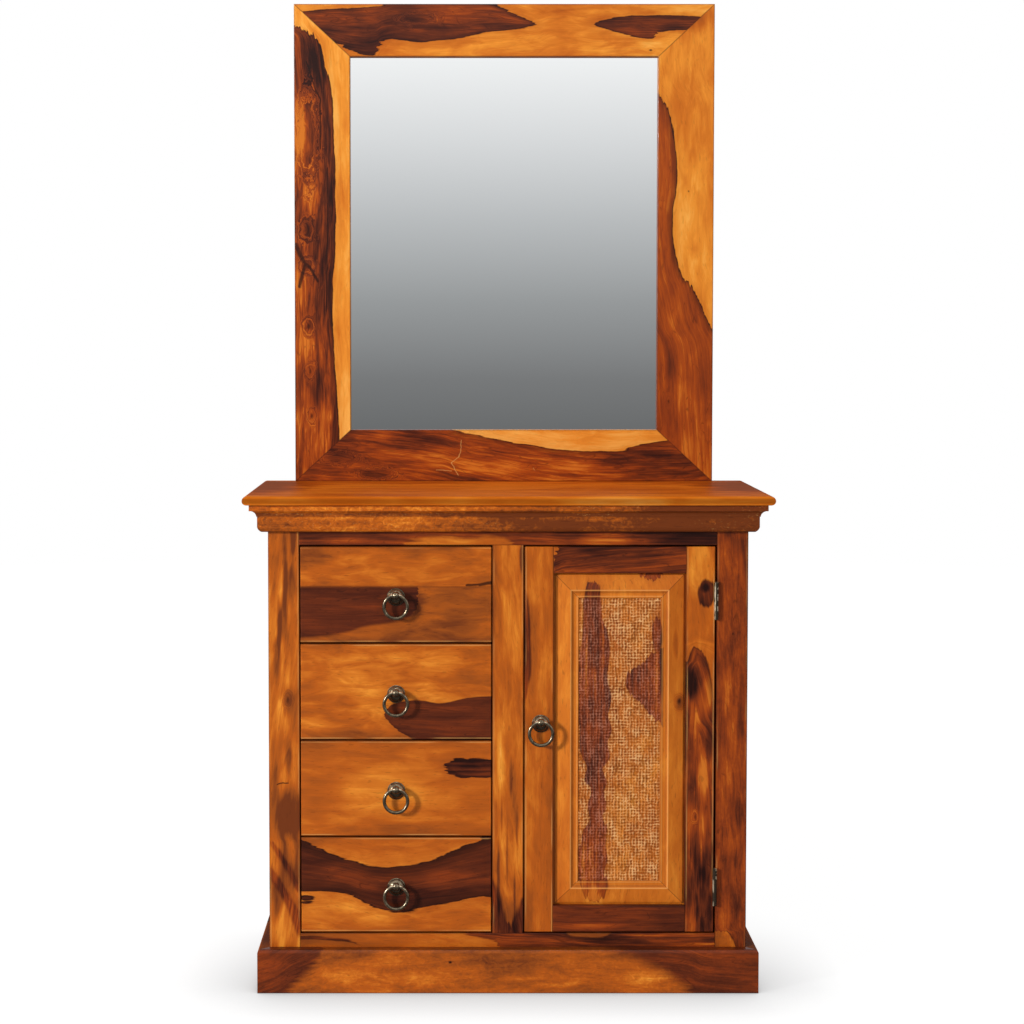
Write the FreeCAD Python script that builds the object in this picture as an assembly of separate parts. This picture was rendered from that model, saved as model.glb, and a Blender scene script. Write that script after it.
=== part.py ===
import FreeCAD, Part
import os
from math import sqrt

# A dresser: a solid-wood chest with four drawers on the left and a cupboard on the right,
# under an overhanging top with a cornice, and a framed mirror that stands on its back edge.
# Sizes are millimetres. X runs to the right, Y to the back and Z up. The origin is on the
# floor, midway across the whole width and the whole depth.

# ---- Driving dimensions -------------------------------------------------------------------

# Chest
carcass_width = 832.0        # over the corner posts
carcass_depth = 359.0        # front of the posts to the outer face of the back panel
post_width = 54.0            # seen from the front
post_depth = 45.0
centre_stile_width = 54.0
rail_thickness = 22.0        # top and bottom rails, centre stile, side and back rails
bottom_rail_width = 60.0
sill_reveal = 24.0           # bottom rail seen between the plinth and the fronts
head_reveal = 24.0           # top rail seen between the fronts and the cornice
side_panel_thickness = 10.0
side_panel_setback = 8.0     # from the outer face of the posts
panel_groove = 6.0           # how far a side panel enters its posts and rails
back_panel_thickness = 8.0
back_rebate = 10.0           # step in the back posts that the back panel sits in
partition_thickness = 18.0
floor_thickness = 16.0
floor_drop = 6.0             # top of the floor board below the top of the bottom rail
arris = 1.2                  # rounding on the edges of the boards

# Plinth
plinth_height = 76.0
plinth_thickness = 20.0
plinth_round = 6.5

# Cornice, from its foot up, and how far each step stands out from the posts
cornice_foot_height = 9.0
frieze_height = 18.0
cove_height = 10.5
fillet_height = 10.0
cornice_foot_out = 10.0
frieze_out = 17.0
fillet_out = 30.0
frieze_quirk = 1.2           # small step between the frieze and the cove

# Top board
top_overhang = 41.0          # past the posts at the front and at both sides
top_thickness = 16.0

# Drawers
drawer_count = 4
drawer_front_height = 167.0
drawer_front_thickness = 20.0
drawer_side_gap = 2.0        # front to the post and to the centre stile
front_gap = 2.5              # above and below each front, and the door
box_clearance = 4.0          # drawer box to the edge of its opening
box_back_gap = 20.0          # drawer box to the back panel
box_height = 128.0
box_lift = 14.0              # underside of the box above the lower edge of its front
box_wall = 12.0
drawer_bottom_thickness = 6.0
drawer_bottom_lift = 8.0     # above the lower edge of the box sides
drawer_bottom_groove = 5.0
runner_height = 18.0
runner_ledge = 12.0          # how far a runner reaches under the box
runner_clearance = 0.3       # box above its runner
guide_height = 10.0
guide_clearance = 0.5        # guide strip to the side of the box

# Door
door_thickness = 20.0
door_stile_width = 50.0
door_rail_width = 46.0
door_pull_gap = 2.0          # pull side of the door to the centre stile
door_groove = 8.0
door_tongue_thickness = 7.0
door_tongue_depth = 10.0     # front of the panel's tongue behind the face of the door
panel_slack = 0.5            # tongue to the bottom of its groove
panel_quirk = 3.5            # sunk line around the panel
bevel_start_depth = 7.0
bevel_width = 25.0
ridge_depth = 1.5
ridge_width = 3.0
inner_slope_width = 12.0
field_depth = 3.5

# Shelf and catch
shelf_thickness = 18.0
shelf_height = 290.0         # underside above the sill
shelf_setback = 10.0         # front edge behind the back of the door
shelf_clearance = 0.5
cleat_height = 15.0
cleat_width = 15.0
cleat_reach = 12.0           # how far the right cleat reaches past the post
catch_width = 36.0
catch_depth = 16.0
catch_height = 12.0
catch_gap = 0.3              # catch to the strike plate
strike_thickness = 1.5
strike_height = 24.0

# Hinges
hinge_gap = 3.0              # door to the post, filled by the two leaves
hinge_length = 65.0
hinge_from_top = 94.0        # middle of the upper hinge below the top of the door
hinge_from_bottom = 80.0
knuckle_radius = 3.75
knuckle_count = 5
knuckle_slit = 0.2
knuckle_proud = 0.25         # back of the knuckles in front of the posts
leaf_thickness = 1.25
leaf_depth = 16.0
pin_radius = 1.25
pin_clearance = 0.05
pin_head_radius = 2.6
pin_head_height = 1.4

# Ring pulls
rosette_radius = 15.5
rosette_rim = 1.8
rosette_height = 9.0
rosette_shoulder = 13.8      # radius where the dome rises from the rim
ball_radius = 7.2
ball_groove = 0.8            # radius of the groove around the middle of the ball
ball_out = 13.5              # middle of the ball in front of the face
ball_lift = 4.0              # middle of the ball above the middle of the rosette
neck_radius = 3.6
eye_clearance = 0.35         # wire to the hole through the ball
ring_radius = 20.3           # to the middle of the wire
ring_wire = 3.1              # radius of the wire
bolt_radius = 2.5
bolt_end = 1.5               # end of the bolt past its nut
bolt_hole_clearance = 0.5
nut_thickness = 4.0
nut_flats = 8.5
nut_clearance = 0.05
door_pull_rise = 33.0        # ball above the middle of the door
door_pull_shift = 3.0        # from the middle of the stile towards the hinges

# Mirror
mirror_inset = 22.0          # side of the mirror inside the outer face of the posts
mirror_height = 895.0
mirror_stile_width = 105.0
mirror_rail_width = 97.5
mirror_frame_thickness = 22.0
mirror_rebate = 10.0
glass_thickness = 5.0
glass_slack = 1.0
backing_thickness = 5.0
support_width = 45.0
support_inset = 20.5         # middle of a support inside the inner face of the posts
support_thickness = 18.0
support_rise = 600.0         # above the top board
support_drop = 150.0         # below it

# Screws
screw_radius = 2.0
screw_head_radius = 4.0
screw_head_height = 2.4
screw_clearance = 0.05
support_screw_length = 35.0
leaf_screw_radius = 1.4
leaf_screw_head_radius = 2.6
leaf_screw_length = 15.0
leaf_screw_spacing = 24.0
strike_screw_spacing = 22.0
strike_screw_length = 10.0

# ---- Places worked out from them ----------------------------------------------------------

half_width = carcass_width / 2
post_in = half_width - post_width
stile_half = centre_stile_width / 2
partition_half = partition_thickness / 2
side_inner = half_width - side_panel_setback - side_panel_thickness
rail_in = half_width - rail_thickness

total_depth = top_overhang + carcass_depth + support_thickness
nose_y = -total_depth / 2
face_y = nose_y + top_overhang
back_y = face_y + carcass_depth
rear_y = back_y + support_thickness
post_back_y = face_y + post_depth
back_post_y = back_y - post_depth
back_rail_y = back_y - back_panel_thickness
back_rail_front = back_rail_y - rail_thickness

sill_z = plinth_height + sill_reveal
pitch = drawer_front_height + front_gap
head_z = sill_z + drawer_count * pitch + front_gap
cornice_z = head_z + head_reveal
top_z = cornice_z + cornice_foot_height + frieze_height + cove_height + fillet_height
top_face_z = top_z + top_thickness
bottom_rail_z = sill_z - bottom_rail_width
floor_z = sill_z - floor_drop

door_x0 = stile_half + door_pull_gap
door_x1 = post_in - hinge_gap
door_z0 = sill_z + front_gap
door_z1 = head_z - front_gap
door_back = face_y + door_thickness
pin_x = post_in - hinge_gap / 2
pin_y = face_y - knuckle_proud - knuckle_radius
hinge_middles = [door_z1 - hinge_from_top, door_z0 + hinge_from_bottom]

box_x0 = -post_in + box_clearance
box_x1 = -stile_half - box_clearance
box_y0 = face_y + drawer_front_thickness
box_y1 = back_rail_y - box_back_gap

shelf_z = sill_z + shelf_height
catch_middle_x = door_x0 + (door_stile_width - door_groove) / 2
catch_x = (catch_middle_x - catch_width / 2, catch_middle_x + catch_width / 2)
catch_y0 = door_back + strike_thickness + catch_gap

mirror_half = half_width - mirror_inset
sight_half = mirror_half - mirror_stile_width
mirror_top = top_face_z + mirror_height
mirror_face = back_y - mirror_frame_thickness
support_x = post_in - support_inset

X, Y, Z = FreeCAD.Vector(1, 0, 0), FreeCAD.Vector(0, 1, 0), FreeCAD.Vector(0, 0, 1)


# ---- Shapes -------------------------------------------------------------------------------

def point(x, y, z):
    return FreeCAD.Vector(x, y, z)


def block(x, y, z):
    """A plain box between two values of x, y and z."""
    return Part.makeBox(x[1] - x[0], y[1] - y[0], z[1] - z[0], point(x[0], y[0], z[0]))


def board(x, y, z, rounding=arris):
    """A box with every edge rounded."""
    box = block(x, y, z)
    return box.makeFillet(rounding, box.Edges)


def both(left, right):
    return Part.makeCompound([left, right])


def mirrored(shape):
    """The same shape on the other side of the middle."""
    return shape.mirror(point(0, 0, 0), X)


def outline(steps, place):
    """A closed face. A step is an (out, up) pair, or (through, end) for an arc."""
    last = steps[0]
    edges = []
    for step in steps[1:] + steps[:1]:
        if isinstance(step[0], tuple):
            through, end = step
            edges.append(Part.Arc(place(*last), place(*through), place(*end)).toShape())
        else:
            end = step
            edges.append(Part.LineSegment(place(*last), place(*end)).toShape())
        last = end
    return Part.Face(Part.Wire(edges))


def plan_prism(corners, z):
    """An upright prism on a plan outline."""
    face = Part.makePolygon([point(cx, cy, z[0]) for cx, cy in corners + corners[:1]])
    return Part.Face(face).extrude(point(0, 0, z[1] - z[0]))


def front_run(steps, reach, z):
    """A moulding along the front of the posts, mitred at both ends."""
    face = outline(steps, lambda out, up: point(-half_width - reach, face_y - out, up))
    run = face.extrude(point(carcass_width + 2 * reach, 0, 0))
    corners = [(-half_width, face_y), (half_width, face_y),
               (half_width + reach, face_y - reach), (-half_width - reach, face_y - reach)]
    return run.common(plan_prism(corners, z))


def side_run(steps, reach, z):
    """The same moulding along the right side, mitred at its front end."""
    face = outline(steps, lambda out, up: point(half_width + out, face_y - reach, up))
    run = face.extrude(point(0, carcass_depth + reach, 0))
    corners = [(half_width, face_y), (half_width, back_y),
               (half_width + reach, back_y), (half_width + reach, face_y - reach)]
    return run.common(plan_prism(corners, z))


def screw(tip_of_head, direction, radius, head_radius, head_height, length, clearance=0.0):
    """A countersunk screw that starts at the face of its head; with clearance, its hole."""
    cone = Part.makeCone(head_radius + clearance, radius + clearance, head_height,
                         tip_of_head, direction)
    shank = Part.makeCylinder(radius + clearance, length + clearance, tip_of_head, direction)
    return cone.fuse(shank)


def support_screw(x, z, clearance=0.0):
    return screw(point(x, rear_y, z), -Y, screw_radius, screw_head_radius,
                 screw_head_height, support_screw_length, clearance)


def leaf_screw(x, y, z, direction, clearance=0.0):
    return screw(point(x, y, z), direction, leaf_screw_radius, leaf_screw_head_radius,
                 leaf_thickness, leaf_screw_length, clearance)


def strike_screw(x, z, clearance=0.0):
    return screw(point(x, door_back + strike_thickness, z), -Y, leaf_screw_radius,
                 leaf_screw_head_radius, strike_thickness, strike_screw_length, clearance)


def drilled(shape, holes):
    for hole in holes:
        shape = shape.cut(hole)
    return shape


# ---- Fastener places ----------------------------------------------------------------------

support_screw_places = [
    (side * support_x, z)
    for side in (-1, 1)
    for z in (top_face_z + support_rise - support_width,
              top_face_z + mirror_rail_width,
              top_z - rail_thickness,
              head_z + rail_thickness)]
leaf_screw_z = [middle + step * leaf_screw_spacing
                for middle in hinge_middles for step in (-1, 0, 1)]
leaf_screw_y = face_y + (leaf_depth + knuckle_proud) / 2
strike_middle_z = shelf_z - catch_height / 2
strike_screw_places = [(catch_middle_x + side * strike_screw_spacing / 2, strike_middle_z)
                       for side in (-1, 1)]

support_holes = [support_screw(x, z, screw_clearance) for x, z in support_screw_places]
post_leaf_holes = [leaf_screw(post_in - leaf_thickness, leaf_screw_y, z, X, screw_clearance)
                   for z in leaf_screw_z]
door_leaf_holes = [leaf_screw(door_x1 + leaf_thickness, leaf_screw_y, z, -X, screw_clearance)
                   for z in leaf_screw_z]
strike_holes = [strike_screw(x, z, screw_clearance) for x, z in strike_screw_places]


# ---- Chest --------------------------------------------------------------------------------

def side_panel():
    return block((side_inner, side_inner + side_panel_thickness),
                 (post_back_y - panel_groove, back_post_y + panel_groove),
                 (sill_z - panel_groove, head_z + panel_groove))


def front_post():
    post = board((post_in, half_width), (face_y, post_back_y), (0, top_z))
    return post.cut(side_panel())


def back_panel():
    return block((-post_in - back_rebate, post_in + back_rebate), (back_rail_y, back_y),
                 (plinth_height, top_z))


def back_post():
    post = board((post_in, half_width), (back_post_y, back_y), (0, top_z))
    return post.cut(side_panel()).cut(back_panel())


def side_rails():
    x = (rail_in, half_width)
    y = (post_back_y, back_post_y)
    lower = board(x, y, (bottom_rail_z, sill_z)).cut(side_panel())
    upper = board(x, y, (head_z, top_z)).cut(side_panel())
    return [lower, upper]


def back_rails():
    x = (-post_in, post_in)
    lower = board(x, (back_rail_front, back_rail_y), (plinth_height, sill_z))
    upper = board(x, (back_rail_front, back_rail_y), (head_z, top_z))
    plinth_back = board(x, (back_y - plinth_thickness, back_y), (0, plinth_height))
    return [lower, drilled(upper, support_holes), plinth_back]


def carcass_rails():
    right = side_rails()
    return Part.makeCompound(right + [mirrored(rail) for rail in right] + back_rails())


def front_rail(z):
    return board((-post_in, post_in), (face_y, face_y + rail_thickness), z)


def centre_stile():
    return board((-stile_half, stile_half), (face_y, face_y + rail_thickness), (sill_z, head_z))


def floor_panel():
    floor = block((-rail_in, rail_in), (face_y + rail_thickness, back_rail_front),
                  (floor_z - floor_thickness, floor_z))
    post = block((post_in, half_width), (face_y, post_back_y), (0, top_z))
    back = block((post_in, half_width), (back_post_y, back_y), (0, top_z))
    for corner in (post, back, mirrored(post), mirrored(back)):
        floor = floor.cut(corner)
    return floor


def partition():
    """The upright board between the drawers and the cupboard, notched around the rails."""
    panel = block((-partition_half, partition_half), (face_y + rail_thickness, back_rail_y),
                  (floor_z, top_z))
    for z in ((plinth_height, sill_z), (head_z, top_z)):
        panel = panel.cut(block((-post_in, post_in), (back_rail_front, back_rail_y), z))
    return panel


def plinth_steps():
    """Section of a plinth board: out from the posts, up from the floor, top edge rounded."""
    bend = plinth_round * (1 - sqrt(0.5))
    return [(0, 0), (plinth_thickness, 0),
            (plinth_thickness, plinth_height - plinth_round),
            ((plinth_thickness - bend, plinth_height - bend),
             (plinth_thickness - plinth_round, plinth_height)),
            (0, plinth_height)]


def cornice_steps():
    """Section of the cornice: a hollow foot, a flat frieze, a cove and a square fillet."""
    frieze_z = cornice_z + cornice_foot_height
    cove_z = frieze_z + frieze_height
    fillet_z = cove_z + cove_height
    cove_out = frieze_out + frieze_quirk
    foot_bend = (cornice_foot_out + 0.62 * (frieze_out - cornice_foot_out),
                 cornice_z + 0.38 * cornice_foot_height)
    cove_bend = (cove_out + (fillet_out - cove_out) * (1 - sqrt(0.5)),
                 cove_z + cove_height * sqrt(0.5))
    return [(0, cornice_z), (cornice_foot_out, cornice_z),
            (foot_bend, (frieze_out, frieze_z)),
            (frieze_out, cove_z), (cove_out, cove_z),
            (cove_bend, (fillet_out, fillet_z)),
            (fillet_out, top_z), (0, top_z)]


def top_board():
    """The top, with a half-round nose along the front and both sides."""
    nose = top_thickness / 2
    reach = half_width + top_overhang
    middle = top_z + nose
    along_x = outline(
        [(back_y, top_z), (back_y, top_face_z), (nose_y + nose, top_face_z),
         ((nose_y, middle), (nose_y + nose, top_z))],
        lambda y, z: point(-reach, y, z)).extrude(point(2 * reach, 0, 0))
    along_y = outline(
        [(reach - nose, top_z), ((reach, middle), (reach - nose, top_face_z)),
         (nose - reach, top_face_z), ((-reach, middle), (nose - reach, top_z))],
        lambda x, z: point(x, nose_y, z)).extrude(point(0, back_y - nose_y, 0))
    return along_x.common(along_y)


def shelf():
    return board((partition_half + shelf_clearance, post_in - shelf_clearance),
                 (door_back + shelf_setback, back_rail_y),
                 (shelf_z, shelf_z + shelf_thickness))


def runners(front_z):
    """The two runners of a drawer and the guide strips on them."""
    top = front_z + box_lift - runner_clearance
    base = (top - runner_height, top)
    strip = (top, top + guide_height)
    y = (post_back_y, back_post_y)
    return [block((-rail_in, box_x0 + runner_ledge), y, base),
            block((-rail_in, box_x0 - guide_clearance), y, strip),
            block((box_x1 - runner_ledge, -partition_half), y, base),
            block((box_x1 + guide_clearance, -partition_half), y, strip)]


def inner_battens():
    y = (post_back_y, back_post_y)
    cleat_z = (shelf_z - cleat_height, shelf_z)
    solids = [block((partition_half, partition_half + cleat_width), y, cleat_z),
              block((post_in - cleat_reach, rail_in), y, cleat_z)]
    for number in range(drawer_count):
        solids += runners(drawer_bottom_edge(number))
    return Part.makeCompound(solids)


def door_catch():
    return board(catch_x, (catch_y0, catch_y0 + catch_depth),
                 (shelf_z - catch_height, shelf_z))


# ---- Mirror -------------------------------------------------------------------------------

def framed(corners, along, holes=()):
    """One mitred board of the mirror frame, rebated behind, with its long edges rounded."""
    loop = [point(x, mirror_face, z) for x, z in corners + corners[:1]]
    solid = Part.Face(Part.makePolygon(loop)).extrude(point(0, mirror_frame_thickness, 0))
    edges = [edge for edge in solid.Edges
             if edge.tangentAt(edge.FirstParameter).cross(along).Length < 1e-6]
    solid = solid.makeFillet(arris, edges)
    reach = sight_half + mirror_rebate
    rebate = block((-reach, reach), (back_y - glass_thickness - backing_thickness, back_y),
                   (top_face_z + mirror_rail_width - mirror_rebate,
                    mirror_top - mirror_rail_width + mirror_rebate))
    return drilled(solid.cut(rebate), holes)


def mirror_stile():
    corners = [(mirror_half, top_face_z), (mirror_half, mirror_top),
               (sight_half, mirror_top - mirror_rail_width),
               (sight_half, top_face_z + mirror_rail_width)]
    return framed(corners, Z, support_holes)


def mirror_rail(outer, inner):
    corners = [(-mirror_half, outer), (mirror_half, outer),
               (sight_half, inner), (-sight_half, inner)]
    return framed(corners, X)


def behind_sight(thickness, y):
    reach = sight_half + mirror_rebate - glass_slack
    return block((-reach, reach), (y, y + thickness),
                 (top_face_z + mirror_rail_width - mirror_rebate + glass_slack,
                  mirror_top - mirror_rail_width + mirror_rebate - glass_slack))


def mirror_support():
    batten = board((support_x - support_width / 2, support_x + support_width / 2),
                   (back_y, rear_y),
                   (top_face_z - support_drop, top_face_z + support_rise))
    return drilled(batten, support_holes)


# ---- Pulls --------------------------------------------------------------------------------

def ring_sag():
    """How far the wire drops from its top to where it leaves the ball."""
    return ring_radius - sqrt(ring_radius ** 2 - ball_radius ** 2)


def pull_hole(x, ball_z, thickness):
    return Part.makeCylinder(bolt_radius + bolt_hole_clearance, thickness,
                             point(x, face_y, ball_z - ball_lift), Y)


def pull_base(x, ball_z, thickness):
    """A domed rosette with a bored ball, bolted through the front, and its nut."""
    middle = point(x, face_y, ball_z - ball_lift)
    bolt_length = thickness + nut_thickness + bolt_end
    dome_bend = (rosette_shoulder * 0.6, rosette_rim + (rosette_height - rosette_rim) * 0.8)
    half_section = outline(
        [(0, -bolt_length), (bolt_radius, -bolt_length), (bolt_radius, 0),
         (rosette_radius, 0), (rosette_radius, rosette_rim * 0.6),
         (rosette_radius - rosette_rim * 0.4, rosette_rim), (rosette_shoulder, rosette_rim),
         (dome_bend, (0, rosette_height))],
        lambda radius, out: middle + X * radius - Y * out)
    rosette = half_section.revolve(middle, Y, 360)
    ball_middle = point(x, face_y - ball_out, ball_z)
    neck = Part.makeCylinder(neck_radius, ball_out - rosette_rim,
                             point(x, face_y - rosette_rim, ball_z), -Y)
    ball = Part.makeSphere(ball_radius, ball_middle)
    eye_radius = ring_wire + ring_sag() / 2 + eye_clearance
    eye = Part.makeCylinder(eye_radius, 2 * ball_radius, ball_middle - X * ball_radius, X)
    groove = Part.makeTorus(ball_radius, ball_groove, ball_middle, X)
    base = rosette.fuse([neck, ball.cut(groove)]).removeSplitter().cut(eye)
    nut_radius = nut_flats / sqrt(3)
    corners = [(nut_radius, 0), (nut_radius / 2, nut_flats / 2),
               (-nut_radius / 2, nut_flats / 2), (-nut_radius, 0),
               (-nut_radius / 2, -nut_flats / 2), (nut_radius / 2, -nut_flats / 2)]
    seat = middle + Y * thickness
    nut = outline(corners, lambda a, b: seat + X * a + Z * b).extrude(Y * nut_thickness)
    nut = nut.cut(Part.makeCylinder(bolt_radius + nut_clearance, nut_thickness, seat, Y))
    return Part.makeCompound([base, nut])


def pull_ring(x, ball_z):
    """The ring hangs so that its wire stays inside the eye all the way as it swings."""
    middle = point(x, face_y - ball_out, ball_z + ring_sag() / 2 - ring_radius)
    return Part.makeTorus(ring_radius, ring_wire, middle, Y)


# ---- Drawers ------------------------------------------------------------------------------

def drawer_bottom_edge(number):
    """Height of the lower edge of a drawer's front, counted from the top drawer."""
    return head_z - (number + 1) * pitch


def drawer_bottom(front_z):
    low = front_z + box_lift + drawer_bottom_lift
    groove = box_wall - drawer_bottom_groove
    return block((box_x0 + groove, box_x1 - groove),
                 (box_y0 - drawer_bottom_groove, box_y1),
                 (low, low + drawer_bottom_thickness))


def drawer_box(front_z):
    z = (front_z + box_lift, front_z + box_lift + box_height)
    bottom = drawer_bottom(front_z)
    left = board((box_x0, box_x0 + box_wall), (box_y0, box_y1), z).cut(bottom)
    right = board((box_x1 - box_wall, box_x1), (box_y0, box_y1), z).cut(bottom)
    back = board((box_x0 + box_wall, box_x1 - box_wall), (box_y1 - box_wall, box_y1),
                 (z[0] + drawer_bottom_lift + drawer_bottom_thickness, z[1]))
    return Part.makeCompound([left, right, back])


def drawer_front(front_z, pull_x, pull_z):
    front = board((-post_in + drawer_side_gap, -stile_half - drawer_side_gap),
                  (face_y, box_y0), (front_z, front_z + drawer_front_height))
    front = front.cut(drawer_bottom(front_z))
    return front.cut(pull_hole(pull_x, pull_z, drawer_front_thickness))


def drawer(number):
    """The five pieces of one drawer, by name."""
    front_z = drawer_bottom_edge(number)
    pull_x = -(post_in + stile_half) / 2
    pull_z = front_z + drawer_front_height / 2
    name = "drawer_%d_" % (number + 1)
    return {name + "front": drawer_front(front_z, pull_x, pull_z),
            name + "box": drawer_box(front_z),
            name + "bottom": drawer_bottom(front_z),
            name + "pull_base": pull_base(pull_x, pull_z, drawer_front_thickness),
            name + "pull_ring": pull_ring(pull_x, pull_z)}


# ---- Door ---------------------------------------------------------------------------------

inner_x = (door_x0 + door_stile_width, door_x1 - door_stile_width)
inner_z = (door_z0 + door_rail_width, door_z1 - door_rail_width)
door_pull_x = door_x0 + door_stile_width / 2 + door_pull_shift
door_pull_z = (door_z0 + door_z1) / 2 + door_pull_rise


def inset(span, margin):
    return (span[0] + margin, span[1] - margin)


def rectangle(margin, depth):
    """A rectangle inside the door's frame, at a depth behind the face of the door."""
    x, z = inset(inner_x, margin), inset(inner_z, margin)
    y = face_y + depth
    return Part.makePolygon([point(x[0], y, z[0]), point(x[1], y, z[0]), point(x[1], y, z[1]),
                             point(x[0], y, z[1]), point(x[0], y, z[0])])


def tapered(margin_a, depth_a, margin_b, depth_b):
    ends = [rectangle(margin_a, depth_a), rectangle(margin_b, depth_b)]
    return Part.makeLoft(ends, True, True)


def tongue(slack):
    y = face_y + door_tongue_depth
    return block(inset(inner_x, slack - door_groove), (y, y + door_tongue_thickness),
                 inset(inner_z, slack - door_groove))


def door_panel():
    """One board: a tongue all round, a raised ridge with bevels, and a sunk field inside it."""
    ridge_margin = panel_quirk + bevel_width
    pocket_margin = ridge_margin + ridge_width
    step = block(inset(inner_x, panel_quirk),
                 (face_y + bevel_start_depth, face_y + door_tongue_depth),
                 inset(inner_z, panel_quirk))
    bevels = tapered(panel_quirk, bevel_start_depth, ridge_margin, ridge_depth)
    pocket = tapered(pocket_margin, ridge_depth,
                     pocket_margin + inner_slope_width, field_depth)
    return tongue(panel_slack).fuse([step, bevels]).removeSplitter().cut(pocket)


def door_stile(x, holes):
    stile = board(x, (face_y, door_back), (door_z0, door_z1))
    return drilled(stile.cut(tongue(0)), holes)


def door_rail(z):
    return board(inner_x, (face_y, door_back), z).cut(tongue(0))


def door_strike():
    plate = block(catch_x, (door_back, door_back + strike_thickness),
                  (strike_middle_z - strike_height / 2, strike_middle_z + strike_height / 2))
    return drilled(plate, strike_holes)


# ---- Hinges -------------------------------------------------------------------------------

def knuckles(middle, first):
    """Every second knuckle of a hinge, from the first one up."""
    share = hinge_length / knuckle_count
    spans = []
    for number in range(first, knuckle_count, 2):
        low = middle - hinge_length / 2 + number * share
        spans.append((low + knuckle_slit / 2, low + share - knuckle_slit / 2))
    return spans


def hinge_leaf(middle, x, first, holes):
    """A flat leaf in the gap beside the door, with its knuckles around the pin."""
    bend_y = pin_y + knuckle_radius + knuckle_proud
    leaf = block(x, (bend_y, face_y + leaf_depth),
                 (middle - hinge_length / 2, middle + hinge_length / 2))
    pieces = []
    for low, high in knuckles(middle, first):
        pieces.append(block(x, (pin_y, bend_y), (low, high)))
        pieces.append(Part.makeCylinder(knuckle_radius, high - low, point(pin_x, pin_y, low)))
    leaf = leaf.fuse(pieces).removeSplitter()
    bore = Part.makeCylinder(pin_radius + pin_clearance, hinge_length,
                             point(pin_x, pin_y, middle - hinge_length / 2))
    return drilled(leaf.cut(bore), holes)


def hinge_pin(middle):
    low = middle - hinge_length / 2
    pin = Part.makeCylinder(pin_radius, hinge_length, point(pin_x, pin_y, low))
    lower = Part.makeCone(pin_radius, pin_head_radius, pin_head_height,
                          point(pin_x, pin_y, low - pin_head_height))
    upper = Part.makeCone(pin_head_radius, pin_radius, pin_head_height,
                          point(pin_x, pin_y, low + hinge_length))
    return pin.fuse([lower, upper])


def hinge_leaves(x, first, holes):
    return Part.makeCompound([hinge_leaf(middle, x, first, holes) for middle in hinge_middles])


# ---- The whole dresser --------------------------------------------------------------------

def chest_nodes():
    plinth_z = (0, plinth_height)
    cornice_span = (cornice_z, top_z)
    plinth_side = side_run(plinth_steps(), plinth_thickness, plinth_z)
    cornice_side = side_run(cornice_steps(), fillet_out, cornice_span)
    post = front_post()
    back = back_post()
    return {
        "post_front_left": mirrored(post),
        "post_front_right": drilled(post, post_leaf_holes),
        "posts_back": both(mirrored(back), back),
        "centre_stile": centre_stile(),
        "top_rail": front_rail((head_z, top_z)),
        "bottom_rail": front_rail((bottom_rail_z, sill_z)),
        "side_panel_left": mirrored(side_panel()),
        "side_panel_right": side_panel(),
        "carcass_rails": carcass_rails(),
        "partition": partition(),
        "back_panel": drilled(back_panel(), support_holes),
        "floor_panel": floor_panel(),
        "plinth_front": front_run(plinth_steps(), plinth_thickness, plinth_z),
        "plinth_sides": both(mirrored(plinth_side), plinth_side),
        "cornice_front": front_run(cornice_steps(), fillet_out, cornice_span),
        "cornice_returns": both(mirrored(cornice_side), cornice_side),
        "top_board": top_board(),
        "shelf": shelf(),
        "inner_battens": inner_battens(),
        "door_catch": door_catch(),
        "hinge_frame_leaves": hinge_leaves((post_in - leaf_thickness, post_in), 0,
                                           post_leaf_holes),
        "hinge_pins": Part.makeCompound([hinge_pin(middle) for middle in hinge_middles]),
        "carcass_screws": Part.makeCompound(
            [support_screw(x, z) for x, z in support_screw_places]
            + [leaf_screw(post_in - leaf_thickness, leaf_screw_y, z, X)
               for z in leaf_screw_z]),
    }


def mirror_nodes():
    stile = mirror_stile()
    batten = mirror_support()
    glass_y = back_y - backing_thickness - glass_thickness
    return {
        "mirror_stile_left": mirrored(stile),
        "mirror_stile_right": stile,
        "mirror_rail_top": mirror_rail(mirror_top, mirror_top - mirror_rail_width),
        "mirror_rail_bottom": mirror_rail(top_face_z, top_face_z + mirror_rail_width),
        "mirror_glass": behind_sight(glass_thickness, glass_y),
        "mirror_backing": behind_sight(backing_thickness, back_y - backing_thickness),
        "mirror_supports": both(mirrored(batten), batten),
    }


def door_nodes():
    pull_side = [pull_hole(door_pull_x, door_pull_z, door_thickness)] + strike_holes
    return {
        "door_stile_pull": door_stile((door_x0, inner_x[0]), pull_side),
        "door_stile_hinge": door_stile((inner_x[1], door_x1), door_leaf_holes),
        "door_rail_top": door_rail((inner_z[1], door_z1)),
        "door_rail_bottom": door_rail((door_z0, inner_z[0])),
        "door_panel": door_panel(),
        "door_pull_base": pull_base(door_pull_x, door_pull_z, door_thickness),
        "door_pull_ring": pull_ring(door_pull_x, door_pull_z),
        "door_strike": door_strike(),
        "hinge_door_leaves": hinge_leaves((door_x1, door_x1 + leaf_thickness), 1,
                                          door_leaf_holes),
        "door_screws": Part.makeCompound(
            [leaf_screw(door_x1 + leaf_thickness, leaf_screw_y, z, -X)
             for z in leaf_screw_z]
            + [strike_screw(x, z) for x, z in strike_screw_places]),
    }


def build():
    nodes = {**chest_nodes(), **mirror_nodes(), **door_nodes()}
    for number in range(drawer_count):
        nodes.update(drawer(number))
    os.makedirs("parts", exist_ok=True)
    for name, shape in nodes.items():
        shape.exportStep(os.path.join("parts", name + ".step"))


build()
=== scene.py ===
"""Finishes for a solid-wood dresser with a framed mirror, laid around its fixed CAD frame."""

import math
from dataclasses import dataclass

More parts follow.
